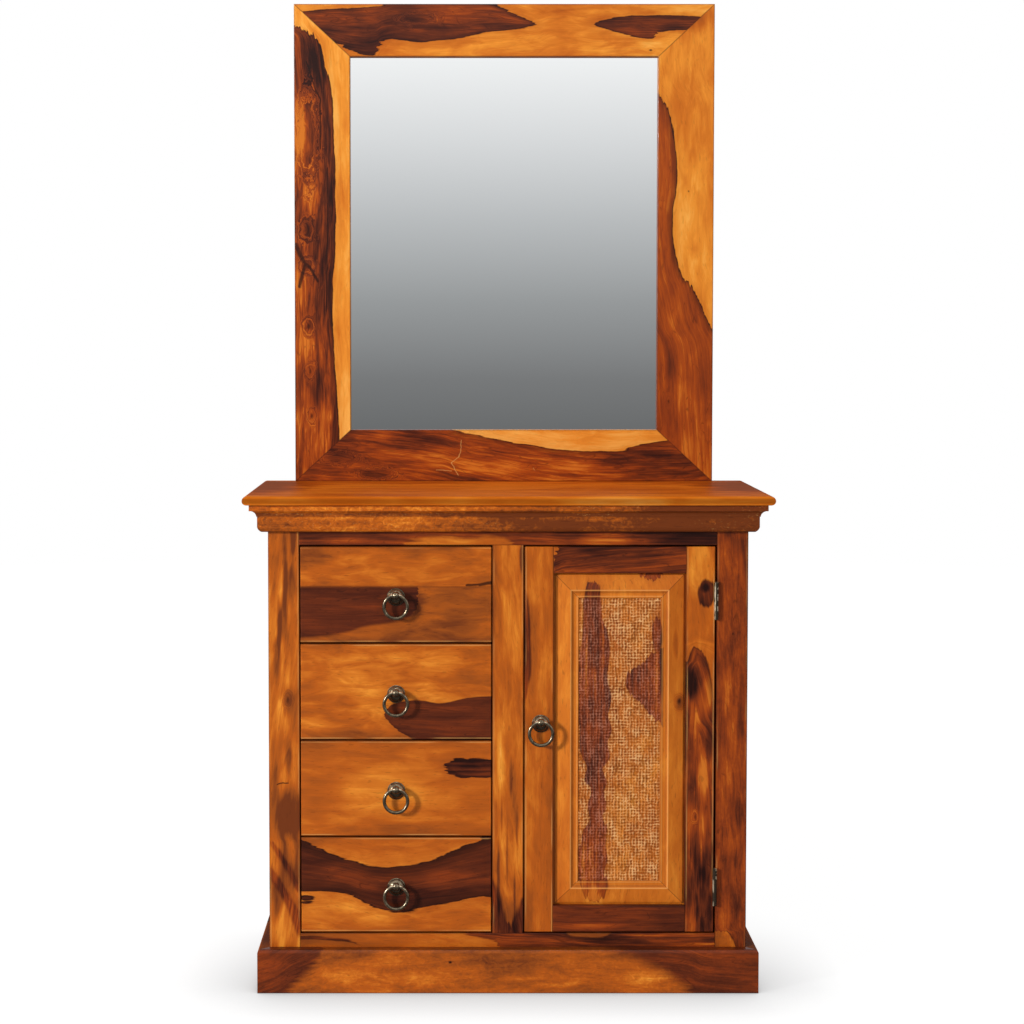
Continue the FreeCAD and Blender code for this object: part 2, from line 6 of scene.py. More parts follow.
import bmesh
import bpy
from bpy.props import FloatProperty, FloatVectorProperty, IntProperty, PointerProperty
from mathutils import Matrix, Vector, noise


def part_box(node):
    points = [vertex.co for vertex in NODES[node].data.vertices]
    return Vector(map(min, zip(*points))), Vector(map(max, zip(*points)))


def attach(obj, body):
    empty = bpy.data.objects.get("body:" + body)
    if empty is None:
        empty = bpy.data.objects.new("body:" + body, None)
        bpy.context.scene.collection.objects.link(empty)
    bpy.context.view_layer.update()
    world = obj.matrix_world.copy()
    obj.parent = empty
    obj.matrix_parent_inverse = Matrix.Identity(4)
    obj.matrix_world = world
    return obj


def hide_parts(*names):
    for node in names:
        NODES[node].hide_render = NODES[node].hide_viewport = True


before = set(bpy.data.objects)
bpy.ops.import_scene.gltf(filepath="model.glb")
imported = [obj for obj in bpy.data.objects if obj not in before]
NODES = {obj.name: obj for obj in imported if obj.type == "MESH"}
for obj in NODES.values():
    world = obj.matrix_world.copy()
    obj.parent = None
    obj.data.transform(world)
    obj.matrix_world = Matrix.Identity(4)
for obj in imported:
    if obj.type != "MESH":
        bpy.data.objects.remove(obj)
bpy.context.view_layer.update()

bl_info = {
    "name": "Dresser with mirror",
    "version": (1, 0, 0),
    "blender": (4, 5, 0),
    "location": "3D View > Sidebar > Dresser",
    "description": "Lacquered boards, carved door panel, aged brass and stage for a dresser with mirror",
    "category": "Add Mesh",
}

MM = 0.001
WHITE = (1.0, 1.0, 1.0)


def paint(code):
    """A colour written as RRGGBB, in the linear values that shaders use."""
    channels = [int(code[i:i + 2], 16) / 255 for i in (0, 2, 4)]
    return tuple(c / 12.92 if c <= 0.04045 else ((c + 0.055) / 1.055) ** 2.4 for c in channels)


# ---------------------------------------------------------------- shader maths


class Socket:
    """One output of a node. Arithmetic on it adds Math nodes to its tree."""

    def __init__(self, tree, out):
        self.tree, self.out = tree, out

    def __add__(self, other):
        return self.tree.math("ADD", self, other)

    __radd__ = __add__

    def __sub__(self, other):
        return self.tree.math("SUBTRACT", self, other)

    def __rsub__(self, other):
        return self.tree.math("SUBTRACT", other, self)

    def __mul__(self, other):
        return self.tree.math("MULTIPLY", self, other)

    __rmul__ = __mul__

    def __truediv__(self, other):
        return self.tree.math("DIVIDE", self, other)

    def __rtruediv__(self, other):
        return self.tree.math("DIVIDE", other, self)

    def __abs__(self):
        return self.tree.math("ABSOLUTE", self)

    def least(self, other):
        return self.tree.math("MINIMUM", self, other)

    def most(self, other):
        return self.tree.math("MAXIMUM", self, other)

    def above(self, limit):
        return self.tree.math("GREATER_THAN", self, limit)

    def step(self, start, end, low=0.0, high=1.0):
        """Turns smoothly from low to high as the value goes from start to end."""
        return self.tree.add(
            "ShaderNodeMapRange", {"interpolation_type": "SMOOTHSTEP"},
            {"Value": self, "From Min": start, "From Max": end, "To Min": low, "To Max": high})

    def fade(self, start, end, high=1.0):
        """Turns smoothly from high to 0 as the value goes from start to end."""
        return self.step(start, end, high, 0.0)


class Tree:
    """The node tree of a material or of the world."""

    # a Mix node's factor, its two colours, and its mixed colour among its outputs
    FACTOR, FIRST, SECOND, MIXED = 0, 6, 7, 2

    def __init__(self, owner):
        owner.use_nodes = True
        self.nodes, self.links = owner.node_tree.nodes, owner.node_tree.links
        self.nodes.clear()

    def add(self, kind, settings=None, sockets=None, result=0):
        """Adds a node: its settings first, then the values or links of its sockets."""
        node = self.nodes.new(kind)
        for name, value in (settings or {}).items():
            if name == "stops":
                self._stops(node.color_ramp.elements, value)
            elif name == "points":
                self._points(node.mapping, value)
            else:
                setattr(node, name, value)
        for key, value in (sockets or {}).items():
            if isinstance(value, Socket):
                self.links.new(value.out, node.inputs[key])
            else:
                node.inputs[key].default_value = value
        return Socket(self, node.outputs[result]) if node.outputs else None

    @staticmethod
    def _stops(elements, stops):
        while len(elements) < len(stops):
            elements.new(1.0)
        for element, (place, colour) in zip(elements, stops):
            element.position, element.color = place, (*colour, 1.0)

    @staticmethod
    def _points(mapping, points):
        mapping.use_clip = False
        mapping.extend = "HORIZONTAL"
        curve = mapping.curves[0]
        curve.points[0].location, curve.points[1].location = points[0], points[-1]
        for point in points[1:-1]:
            curve.points.new(*point)
        mapping.update()

    def math(self, operation, *values):
        return self.add("ShaderNodeMath", {"operation": operation}, dict(enumerate(values)))

    def distance(self, across, up):
        """Length of the way that goes so far across and so far up."""
        return self.math("SQRT", across * across + up * up)

    def split(self, vector):
        return [self.add("ShaderNodeSeparateXYZ", None, {0: vector}, k) for k in range(3)]

    def place(self):
        """Where a point of the surface is on the resting dresser, in metres."""
        return self.split(self.add("ShaderNodeTexCoord", result="Object"))

    def ray(self, kind):
        """1 for light rays of this kind, and 0 for the others."""
        return self.add("ShaderNodeLightPath", result=kind)

    def curve(self, value, points):
        return self.add("ShaderNodeFloatCurve", {"points": points}, {"Value": value})

    def grain(self, x, y, z, detail=2.0, rough=0.55, swirl=0.0):
        """Noise from 0 to 1 in coordinates that are already stretched."""
        spot = self.add("ShaderNodeCombineXYZ", None, {0: x, 1: y, 2: z})
        return self.add("ShaderNodeTexNoise", None, {
            "Vector": spot, "Scale": 1.0, "Detail": detail, "Roughness": rough, "Distortion": swirl})

    def speckle(self, place, scale, detail=2.0, rough=0.55):
        """Noise from 0 to 1 that is as fine in every direction."""
        return self.grain(*(axis * scale for axis in place), detail, rough)

    def ramp(self, value, stops):
        return self.add("ShaderNodeValToRGB", {"stops": stops}, {0: value})

    def blend(self, factor, first, second):
        sockets = {self.FACTOR: factor, self.FIRST: self.colour(first), self.SECOND: self.colour(second)}
        return self.add("ShaderNodeMix", {"data_type": "RGBA"}, sockets, self.MIXED)

    @staticmethod
    def colour(value):
        return value if isinstance(value, Socket) else (*value, 1.0)

    def bump(self, height, strength, distance):
        sockets = {"Strength": strength, "Distance": distance, "Height": height}
        return self.add("ShaderNodeBump", None, sockets)

    def surface(self, sockets):
        shader = self.add("ShaderNodeBsdfPrincipled", None, sockets)
        self.add("ShaderNodeOutputMaterial", None, {"Surface": shader})


def new_finish(name):
    """A new material and its empty tree."""
    material = bpy.data.materials.new(name)
    return material, Tree(material)


# ---------------------------------------------------------------- wood

# The axis that the grain runs along, then across the board's width, then its thickness.
LIES = {"upright": "zxy", "level": "xzy", "flat": "xyz", "side": "zyx", "deep": "yzx", "bottom": "yxz",
        "round": "xzy"}


def turn_at_sides(place, low, high):
    """Boards past these two x places run front to back, so x and y change places there."""
    at_side = (low - place["x"]).most(place["x"] - high).above(0.0)
    turn = (place["y"] - place["x"]) * at_side
    return {"x": place["x"] + turn, "y": place["y"] - turn, "z": place["z"]}


@dataclass
class Look:
    """How one board looks. Lengths are in metres, and u and v are fractions of its length and width.

    A tone is 0 for no change, below 0 for darker and above 0 for lighter."""

    seed: float = 0.0  # which stretch of the tree the board is cut from
    # where the heartwood lies
    # pairs of a lower and an upper edge, each a curve of (u, v) points; None for a board without heartwood
    heart: tuple = ()
    blots: tuple = ()  # ovals of heartwood: u, v, half length, half width
    soft: float = 0.0008  # how far the two woods run into each other
    torn: float = 1.0  # how ragged their edge is
    line: float = 0.8  # how black their edge is
    rim: float = 0.0095  # how wide the black is
    # how the grain runs
    follow: float = 0.6  # how closely it follows the first heart curves
    nest: bool = False  # whether it closes in arches around them
    lean: float = 0.0  # its slant
    swirl: float = 1.0  # how far it wanders
    # tone and figure
    sap: float = 0.0  # tone of the sapwood
    dark: float = 0.0  # tone of the heartwood
    figure: float = 0.8  # how strongly the sapwood varies
    contrast: float = 1.0  # how strongly the heartwood varies
    streak: float = 0.5  # how far it varies in stripes rather than in mottles
    burl: float = 0.0  # curls
    flecks: float = 0.25  # short dark dashes
    glints: float = 0.0  # painted glints: pale specks of light
    stain: float = 0.0  # warm stain
    burn: float = 0.10  # darker long edges
    gleam: float = 0.0  # light caught by the eased edges
    shine: float = 1.0  # strength of the lacquer
    # marks
    knots: tuple = ()  # u, v, half length, half width, darkness
    smudges: tuple = ()  # u, v, half length, half width, tone
    marks: tuple = ()  # dark lines: u, v, u, v, half width
    scratches: tuple = ()  # pale lines, in the same way
    glue: float = None  # v of a glued joint
    low_side: float = 0.0  # tone of the wood below the joint
    mitre: tuple = ()  # mitred ends: x, z, x, z
    carved: object = None  # colours a carving, from the tree, the wood's colour and the heartwood's mask


class Sheesham:
    """Lacquered sheesham: honey sapwood, streaked heartwood and a near-black line between them."""

    def __init__(self, node, lie, look):
        self.look, self.wood = look, bpy.context.scene.dresser_wood
        self.material, self.tree = new_finish("sheesham_" + node)
        self.lay_board(node, lie)
        self.side = self.v.above(look.glue) if look.glue is not None else 0.0
        self.run_grain()
        self.grow_heartwood()
        self.vary_tone()
        self.mix_woods()
        self.mark_and_stain(lie)
        self.lacquer()

    def lay_board(self, node, lie):
        """Distances in metres along, across and into the board, its fractions u and v, and its sizes."""
        low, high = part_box(node)
        place = dict(zip("xyz", self.tree.place()))
        if lie == "round":
            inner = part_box("post_front_right")[0].x
            place = turn_at_sides(place, -inner, inner)
        self.along, self.across, self.depth = (place[axis] for axis in LIES[lie])
        a, c = ("xyz".index(axis) for axis in LIES[lie][:2])
        self.length, self.width = high[a] - low[a], high[c] - low[c]
        self.u, self.v = (self.along - low[a]) / self.length, (self.across - low[c]) / self.width

    def run_grain(self):
        """The grain wanders, and bends around knots, whose eyes are darker."""
        tree, look, along, across, depth = self.tree, self.look, self.along, self.across, self.depth
        wander = tree.grain(along * 1.8 + look.seed, across * 3.5 + self.side * 7.0, depth * 6.0)
        self.ripple = tree.grain(along * 9.0, across * 18.0 + look.seed, depth * 20.0)
        flow = (across + along * look.lean + (wander - 0.5) * (0.034 * look.swirl)
                + (self.ripple - 0.5) * (0.006 * look.swirl ** 2) + depth * 0.35 + self.side * 0.37)
        self.eye = None
        for u, v, half_long, half_wide, darkness in look.knots:
            lump = tree.grain(along * 55.0, across * 75.0 + look.seed, depth * 50.0)
            off_u, off_v = self.u - u, self.v - v
            away = tree.distance(off_u * (self.length * half_wide / half_long), off_v * self.width)
            away = away * (0.35 + lump * 1.3)
            around = away.fade(half_wide * 0.7, half_wide * 1.6)
            flow = flow * (1.0 - around) + (away * 0.8 + flow * 0.35) * around
            here = away.fade(half_wide * 0.1, half_wide * 0.6, darkness)
            self.eye = here if self.eye is None else self.eye.most(here)
        self.flow = flow

    def from_middle(self, off_u, off_v, half_long, half_wide):
        """Distance from an oval's middle, 1 on its rim, for a place so far off it in board fractions."""
        return self.tree.distance(off_u * (self.length / half_long), off_v * (self.width / half_wide))

    def grow_heartwood(self):
        """How deep a point lies inside the heartwood, in metres, and the rings that the stripes follow."""
        tree, look, along, across, depth = self.tree, self.look, self.along, self.across, self.depth
        # the heartwood's edge has fingers along the grain
        self.jag = tree.grain(along * 16.0, across * 42.0 + look.seed, depth * 40.0, detail=4.0, rough=0.6)
        finger = tree.grain(across * 210.0, along * 5.0 + look.seed, depth * 60.0, rough=0.6)
        ragged_u = self.u + (finger - 0.5) * (0.03 * look.torn / self.length)
        ragged_v = self.v + (self.jag - 0.5) * (0.009 * look.torn / self.width)
        areas = []
        for lower, upper in look.heart or ():
            sides = []
            if lower:
                sides.append((ragged_v - tree.curve(ragged_u, lower)) * self.width)
            if upper:
                sides.append((tree.curve(ragged_u, upper) - ragged_v) * self.width)
            areas.append(sides[0] if len(sides) == 1 else sides[0].least(sides[1]))
        for u, v, half_long, half_wide in look.blots:
            away = self.from_middle(ragged_u - u, ragged_v - v, half_long, half_wide)
            areas.append((1.0 - away) * half_wide)
        if not areas and look.heart is not None:
            patches = tree.grain(
                self.flow * 9.0 + look.seed * 3.1, along * 0.9, depth * 2.0, rough=0.5, swirl=0.6)
            areas.append((patches - self.wood.heart_share) * 0.12 + (self.jag - 0.5) * 0.004)
        self.inside = None
        for area in areas:
            self.inside = area if self.inside is None else self.inside.most(area)
        self.ring = self.follow_heart(*look.heart[0]) if look.heart else self.flow

    def follow_heart(self, lower, upper):
        """Grain that runs with the heartwood's edges."""
        u, v, width, flow = self.u, self.v, self.width, self.flow
        low_v = self.tree.curve(u, lower) if lower else None
        high_v = self.tree.curve(u, upper) if upper else None
        if not (lower and upper):
            path = (v - (low_v if lower else high_v)) * width
        elif self.look.nest:
            path, flow = (v - low_v).least(high_v - v) * width, flow * 0.4
        else:
            share = ((v - low_v) / (high_v - low_v).most(0.12)).most(0.0).least(1.0)
            path = share * (0.4 * width) + ((v - low_v).least(0.0) - (high_v - v).least(0.0)) * width
        return flow * (1.0 - self.look.follow) + path * self.look.follow

    def vary_tone(self):
        """Stripes of three widths, flames, soft patches, thin dark veins and dashes."""
        tree, look, along, across, depth = self.tree, self.look, self.along, self.across, self.depth
        ring, seed = self.ring, look.seed
        wild = max(look.swirl - 1.0, 0.0)
        self.broad = tree.grain(ring * 45.0, along * 1.5 + seed, depth * 9.0, rough=0.5)
        self.bands = tree.grain(
            ring * (190.0 - 40.0 * wild) + seed, along * (6.0 + 10.0 * wild), depth * 30.0,
            detail=3.0, rough=0.6, swirl=wild)
        self.fine = tree.grain(ring * 800.0, along * 13.0, depth * 200.0 + seed, rough=0.6)
        self.flame = tree.grain(along * 9.0 - seed, ring * 48.0, depth * 12.0 + 7.0, rough=0.5, swirl=0.7)
        self.cloud = tree.grain(along * 4.2 + seed, across * 8.0 + self.side * 3.0, depth * 6.0)
        self.dash = tree.grain(along * 60.0, ring * 340.0 + seed, depth * 90.0, detail=1.0)
        self.vein = abs(self.flame - 0.5).fade(0.0, 0.020) * self.bands.step(0.44, 0.60)
        mottle = tree.grain(
            along * 15.0 + seed, across * 50.0, depth * 30.0, detail=3.0, rough=0.6, swirl=0.6)
        self.tone = ((self.cloud - 0.5) * 1.2 + (self.flame - 0.5) * look.streak
                     + (mottle - 0.5) * (1.4 * (1.0 - look.streak)))
        if look.burl:
            curls = tree.grain(
                along * 85.0, across * 110.0, depth * 60.0 + seed, detail=3.0, rough=0.6, swirl=1.3)
            self.tone = self.tone + (curls - 0.5) * look.burl
        for u, v, half_long, half_wide, change in look.smudges:
            away = self.from_middle(self.u - u, self.v - v, half_long, half_wide)
            self.tone = self.tone + (away + (self.flame - 0.5) * 1.2).fade(0.25, 1.1, change)

    def mix_woods(self):
        """The colours of the two woods, and the dark line where they meet."""
        tree, look, wood, tone, inside = self.tree, self.look, self.wood, self.tone, self.inside
        bands, fine, broad = self.bands - 0.5, self.fine - 0.5, self.broad - 0.5
        self.margin = (self.v * self.width).least((1.0 - self.v) * self.width)
        stripes = look.figure * look.streak
        glow = (tone * look.figure + bands * (0.45 * stripes) + fine * (0.10 + 0.14 * look.streak)
                + broad * (0.6 * stripes) + self.margin.fade(0.0, 0.028, -look.burn) + (0.52 + look.sap))
        if look.low_side:
            glow = glow + look.low_side * (1.0 - self.side)
        self.colour = tree.ramp(glow, [
            (0.0, wood.sap_brown), (0.22, wood.sap_deep), (0.48, wood.sap_mid), (0.68, wood.sap_light),
            (0.84, wood.sap_bright), (1.0, wood.sap_pale)])
        self.mask, self.shadow = 0.0, self.vein * 0.10
        if inside is not None:
            even = min(look.contrast, 1.0)
            shade = (tone * (0.8 * even) + broad * (0.9 * even) + bands * (1.1 * look.contrast)
                     + fine * (0.5 * look.contrast) + (0.45 + look.dark))
            dark_wood = tree.ramp(shade, [
                (0.0, wood.heart_black), (0.2, wood.heart_dark), (0.4, wood.heart_brown),
                (0.6, wood.heart_red), (0.8, wood.heart_orange), (1.0, wood.heart_pale)])
            self.mask = inside.step(-look.soft, look.soft)
            near = inside.step(-0.02, 0.0, 0.0, 0.10) * (1.0 - self.mask)
            self.colour = tree.blend(self.mask, tree.blend(near, self.colour, wood.sap_brown), dark_wood)
            # the line fades into the heartwood
            dusk = inside.fade(0.0005, look.rim) * (0.2 + self.ripple * 0.9)
            dusk = dusk.most(inside.fade(0.001, 0.003 + look.soft)) * self.mask * look.line
            self.shadow = dusk.most(self.vein * (0.10 + self.mask * 0.35))

    def near_line(self, u0, v0, u1, v1, half, strength):
        """A wavering line between two places of the board, in board fractions."""
        run_a, run_c = (u1 - u0) * self.length, (v1 - v0) * self.width
        da = (self.u - u0) * self.length + (self.jag - 0.5) * 0.012
        dc = (self.v - v0) * self.width + (self.jag - 0.5) * 0.008
        part = ((da * run_a + dc * run_c) / (run_a ** 2 + run_c ** 2)).most(0.0).least(1.0)
        return self.tree.distance(da - part * run_a, dc - part * run_c).fade(half * 0.3, half, strength)

    def joints(self, lie):
        """Painted shade along the board's edges, where the gaps between parts fall dark, and dark lines at
        its glued joint and its mitred ends.
        """
        edge = self.margin.fade(0.0, 0.0028)
        if self.look.glue is not None:
            edge = edge.most(abs(self.v - self.look.glue).fade(0.0, 0.0011 / self.width))
        x, z = (self.along, self.across) if lie == "level" else (self.across, self.along)
        for x0, z0, x1, z1 in self.look.mitre:
            run = math.hypot(x1 - x0, z1 - z0)
            off = (x - x0) * ((z1 - z0) / run) - (z - z0) * ((x1 - x0) / run)
            edge = edge.most(abs(off).fade(0.0002, 0.0016))
        return edge

    def mark_and_stain(self, lie):
        """Dashes, knots, dark and pale lines, joints, painted shade along the edges, stain, painted
        highlights on the eased edges and painted glints.
        """
        tree, look, wood = self.tree, self.look, self.wood
        shadow = self.shadow.most(self.dash.step(0.64, 0.74, 0.0, look.flecks))
        if self.eye is not None:
            shadow = shadow.most(self.eye)
        for mark in look.marks:
            shadow = shadow.most(self.near_line(*mark, 0.85))
        # painted shade along the board's edges, together with the dark glue and mitre lines
        shadow = shadow.most(self.joints(lie) * 0.5)
        colour = tree.blend(look.stain, self.colour, wood.stain) if look.stain else self.colour
        colour = tree.blend(shadow, colour, wood.dark_line_and_shade)
        # painted highlight: a pale line just inside the edges, where light would catch them
        if look.gleam:
            eased = abs(self.margin - 0.0024).fade(0.0004, 0.0014, look.gleam)
            colour = tree.blend(eased * self.ripple.step(0.42, 0.60), colour, wood.scratch_and_highlight)
        for scratch in look.scratches:
            pale = self.near_line(*scratch, 0.55) * self.ripple.step(0.38, 0.52)
            colour = tree.blend(pale, colour, wood.scratch_and_highlight)
        # painted glints: pale specks of light in the lighter patches
        if look.glints:
            speck = tree.grain(self.along * 260.0, self.across * 330.0, self.depth * 200.0 + look.seed)
            speck = speck.step(0.60, 0.72) * (self.cloud + self.flame).step(0.85, 1.15) * look.glints
            colour = tree.blend(speck, colour, wood.scratch_and_highlight)
        self.colour = look.carved(tree, colour, self.mask) if look.carved else colour

    def lacquer(self):
        """The clear coat, with fine pores under it."""
        wood, shine = self.wood, self.look.shine
        pores = self.tree.bump(self.fine * 0.6 - self.vein * 0.6, wood.pore_depth, 0.4 * MM)
        self.tree.surface({
            "Base Color": self.colour, "Roughness": 0.36 + self.fine * 0.16, "Normal": pores,
            "Specular IOR Level": 0.12 * shine, "Coat Weight": wood.lacquer * shine,
            "Coat Roughness": wood.lacquer_blur})


def sheesham(node, lie, **look):
    """The lacquered sheesham of one board, which lies as LIES says."""
    return Sheesham(node, lie, Look(**look)).material


def dress(node, material):
    """Puts one material on a CAD node."""
    slots = NODES[node].material_slots
    if not slots:
        NODES[node].data.materials.append(material)
    for slot in slots:
        slot.material = material


def board(node, lie, **look):
    """Finishes one board of the CAD model."""
    dress(node, sheesham(node, lie, **look))


# ---------------------------------------------------------------- other finishes


def plain_timber(name, light, dark, lie, rings, between=None):
    """Unlacquered inside timber with straight pale grain and so many rings to the metre.

    Past the two x places between, it runs front to back."""
    material, tree = new_finish(name)
    place = dict(zip("xyz", tree.place()))
    if between:
        place = turn_at_sides(place, *between)
    along, across, depth = (place[axis] for axis in LIES[lie])
    wander = tree.grain(along * 3.0, across * 8.0, depth * 8.0)
    ring = across + depth * 0.6 + (wander - 0.5) * 0.02
    bands = tree.grain(ring * rings, along * 3.0, depth * 30.0, detail=3.0, rough=0.6)
    fine = tree.grain(ring * 900.0, along * 24.0, depth * 900.0)
    shade = (bands - 0.5) * 1.1 + (fine - 0.5) * 0.6 + 0.5
    tree.surface({
        "Base Color": tree.ramp(shade, [(0.15, paint(dark)), (0.75, paint(light))]),
        "Roughness": 0.55 + fine * 0.2, "Normal": tree.bump(fine, 0.3, 0.3 * MM)})
    return material


def aged_brass(name, rub, under=None, over=None):
    """Brass gone dark in its hollows and rubbed bright where hands reach it; rub from 0 to 1 is how much.

    Below the height under it is painted darker still, as shade under the ring, and above the height over it
    is painted bright, a highlight on the ring's top that also stands for worn brass."""
    metal = bpy.context.scene.dresser_metal
    material, tree = new_finish(name)
    place = tree.place()
    height = place[2]
    cloud = tree.speckle(place, 220.0, detail=3.0, rough=0.6)
    speck = tree.speckle(place, 1500.0)
    worn = (cloud * 0.5 + speck * 0.2 + rub * 0.5).step(0.35, 0.95)
    colour = tree.blend(worn, metal.patina, metal.rubbed)
    # painted highlight on the top of a ring, which also stands for worn brass
    if over is not None:
        colour = tree.blend(height.step(over - 1.5 * MM, over + 1.5 * MM), colour, metal.brass_wear_and_highlight)
    # painted shade on the lower half of a pull's base, under its ring
    if under is not None:
        colour = tree.blend(height.fade(under - 3 * MM, under + 3 * MM, 0.5), colour, metal.painted_base_shade)
    tree.surface({
        "Base Color": colour, "Metallic": 0.85 + worn * 0.15, "Roughness": metal.blur + (1.0 - worn) * 0.08,
        "Normal": tree.bump(speck, 0.12, 0.2 * MM)})
    return material


def hinge_brass():
    """Brass of the hinges: brown, with a painted highlight all along the lit left side of the knuckles and
    painted glints in spots on the right.
    """
    metal = bpy.context.scene.dresser_metal
    material, tree = new_finish("hinge_brass")
    low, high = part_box("hinge_pins")
    middle = (low.x + high.x) / 2
    x, y, z = tree.place()
    cloud = tree.grain(x * 90.0, y * 90.0, z * 42.0)
    spots = tree.grain(x * 60.0 + 3.0, y * 60.0, z * 170.0, detail=1.0)
    # painted highlight down the lit left side of the knuckles, and painted glints in spots on the right
    left = (middle - x).step(1.2 * MM, 2.6 * MM) * cloud.step(0.42, 0.60)
    right = (x - middle).step(0.6 * MM, 1.8 * MM) * spots.step(0.56, 0.66)
    tree.surface({
        "Base Color": tree.blend(left.most(right), metal.patina, metal.brass_wear_and_highlight), "Metallic": 0.8,
        "Roughness": 0.30 + cloud * 0.1, "Normal": tree.bump(spots, 0.15, 0.2 * MM)})
    return material


def screw_steel():
    """Zinc-plated steel with faint turning marks."""
    material, tree = new_finish("screw_steel")
    marks = tree.speckle(tree.place(), 900.0)
    tree.surface({
        "Base Color": tree.blend(marks, paint("6E6A60"), paint("A9A596")), "Metallic": 1.0,
        "Roughness": 0.28 + marks * 0.2})
    return material


def catch_plastic():
    """Brown moulded plastic of the magnetic catch."""
    material, tree = new_finish("catch_plastic")
    skin = tree.speckle(tree.place(), 1200.0)
    tree.surface({
        "Base Color": tree.blend(skin, paint("3A2416"), paint("4C3220")), "Roughness": 0.42 + skin * 0.1,
        "Normal": tree.bump(skin, 0.2, 0.1 * MM)})
    return material


def silvered_glass():
    """Mirror glass: silver behind a clear plate, faintly green on its cut edge."""
    material, tree = new_finish("silvered_glass")
    low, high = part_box("mirror_glass")
    x, y, z = tree.place()
    rim = (high.z - z).least(z - low.z).least(high.x - x).least(x - low.x)
    cut = rim.fade(0.0, 4 * MM)
    tree.surface({
        "Base Color": tree.blend(cut, paint("F6F8F8"), paint("8FB0A2")), "Metallic": 1.0,
        "Roughness": 0.02 + cut * 0.25})
    return material


# ---------------------------------------------------------------- settings


def tone_setting(name, code, words):
    return FloatVectorProperty(
        name=name, description=words, default=paint(code), subtype="COLOR", min=0, max=1)


def share_setting(name, share, words):
    return FloatProperty(name=name, description=words, default=share, min=0, max=1, subtype="FACTOR")


def length_setting(name, length, words, low, high):
    return FloatProperty(name=name, description=words, default=length, min=low, max=high, unit="LENGTH")


def power_setting(name, watts, words):
    return FloatProperty(name=name, description=words, default=watts, min=0, unit="POWER")


class DresserWood(bpy.types.PropertyGroup):
    """Colours and finish of the boards."""

    sap_pale: tone_setting("Palest sapwood", "FFB552", "The lightest streaks of the sapwood")
    sap_bright: tone_setting("Bright sapwood", "F0952F", "Bright stripes of the sapwood")
    sap_light: tone_setting("Light sapwood", "D8771E", "Light stripes of the sapwood")
    sap_mid: tone_setting("Honey sapwood", "BE5D12", "Most of the sapwood")
    sap_deep: tone_setting("Deep sapwood", "9A4C14", "Darker stripes of the sapwood")
    sap_brown: tone_setting("Brown sapwood", "753612", "The darkest stripes of the sapwood")
    heart_pale: tone_setting("Pale heartwood", "D47420", "The brightest streaks in the heartwood")
    heart_orange: tone_setting("Orange heartwood", "AE4C0F", "Bright streaks in the heartwood")
    heart_red: tone_setting("Red heartwood", "8C390F", "Light stripes of the heartwood")
    heart_brown: tone_setting("Brown heartwood", "65290F", "Most of the heartwood")
    heart_dark: tone_setting("Dark heartwood", "45190A", "Dark stripes of the heartwood")
    heart_black: tone_setting("Blackest heartwood", "270B05", "The darkest stripes of the heartwood")
    # also the painted shade along the boards' edges
    dark_line_and_shade: tone_setting("Boundary line", "1E0904", "The line between sapwood and heartwood, and knots")
    stain: tone_setting("Stain", "F5761A", "The warm stain wiped over the top board")
    # the painted highlights on eased edges and the painted glints, and also the real pale scratches
    scratch_and_highlight: tone_setting("Glints", "E0A860", "Scratches, eased edges and specks where the grain is torn")
    heart_share: share_setting("Sapwood share", 0.55, "How much of the unmarked boards is sapwood")
    lacquer: share_setting("Lacquer", 0.22, "Strength of the clear lacquer")
    lacquer_blur: share_setting("Lacquer blur", 0.18, "Roughness of the lacquer")
    pore_depth: share_setting("Pores", 0.35, "How strongly the pores catch the light")


class DresserMetal(bpy.types.PropertyGroup):
    """Colours of the pulls and hinges."""

    patina: tone_setting("Patina", "4B4034", "The dark hollows of the brass")
    # painted shade on the lower half of a pull's base, under its ring
    painted_base_shade: tone_setting("Grime", "1E140C", "Where the rings keep hands off the brass")
    rubbed: tone_setting("Rubbed brass", "D8C4A0", "Brass where hands keep it bright")
    # painted highlight on the ring tops, which also stands for worn brass, and on the lit side and spots of
    # the hinges
    brass_wear_and_highlight: tone_setting("Bright brass", "F2E2C0", "Worn tops of the rings and worn edges of the hinges")
    blur: share_setting("Roughness", 0.20, "Roughness of the rubbed brass")


class DresserPanel(bpy.types.PropertyGroup):
    """The carved field of the door panel."""

    pitch: length_setting("Lattice pitch", 5.2 * MM, "Distance between the carved threads", 2 * MM, 20 * MM)
    crest: length_setting("Crest depth", 3.2 * MM, "Depth of the crests behind the face", 1 * MM, 6 * MM)
    pit: length_setting("Pit depth", 4.6 * MM, "Depth of the pits behind the face", 1 * MM, 8 * MM)
    cuts: IntProperty(name="Cuts", description="Divisions of each carved cell", default=4, min=2, max=8)


class DresserStage(bpy.types.PropertyGroup):
    """Floor, lamps, world and camera."""

    floor_tone: tone_setting("Floor", "EDECEA", "Colour of the floor")
    key_power: power_setting("Key lamp", 558.0, "Power of the key lamp")
    key_size: length_setting("Key size", 1.25, "Width of the key lamp", 0.05, 10.0)
    fill_power: power_setting("Fill lamp", 6.0, "Power of the small lamp on the right")
    top_power: power_setting("Top lamp", 12.0, "Power of the wide lamp overhead")
    air: FloatProperty(
        name="Room light", description="Strength of the even light of the room", default=0.30, min=0)
    lens: FloatProperty(name="Lens", description="Focal length", default=72.63, min=10, unit="CAMERA")


# ---------------------------------------------------------------- pieces


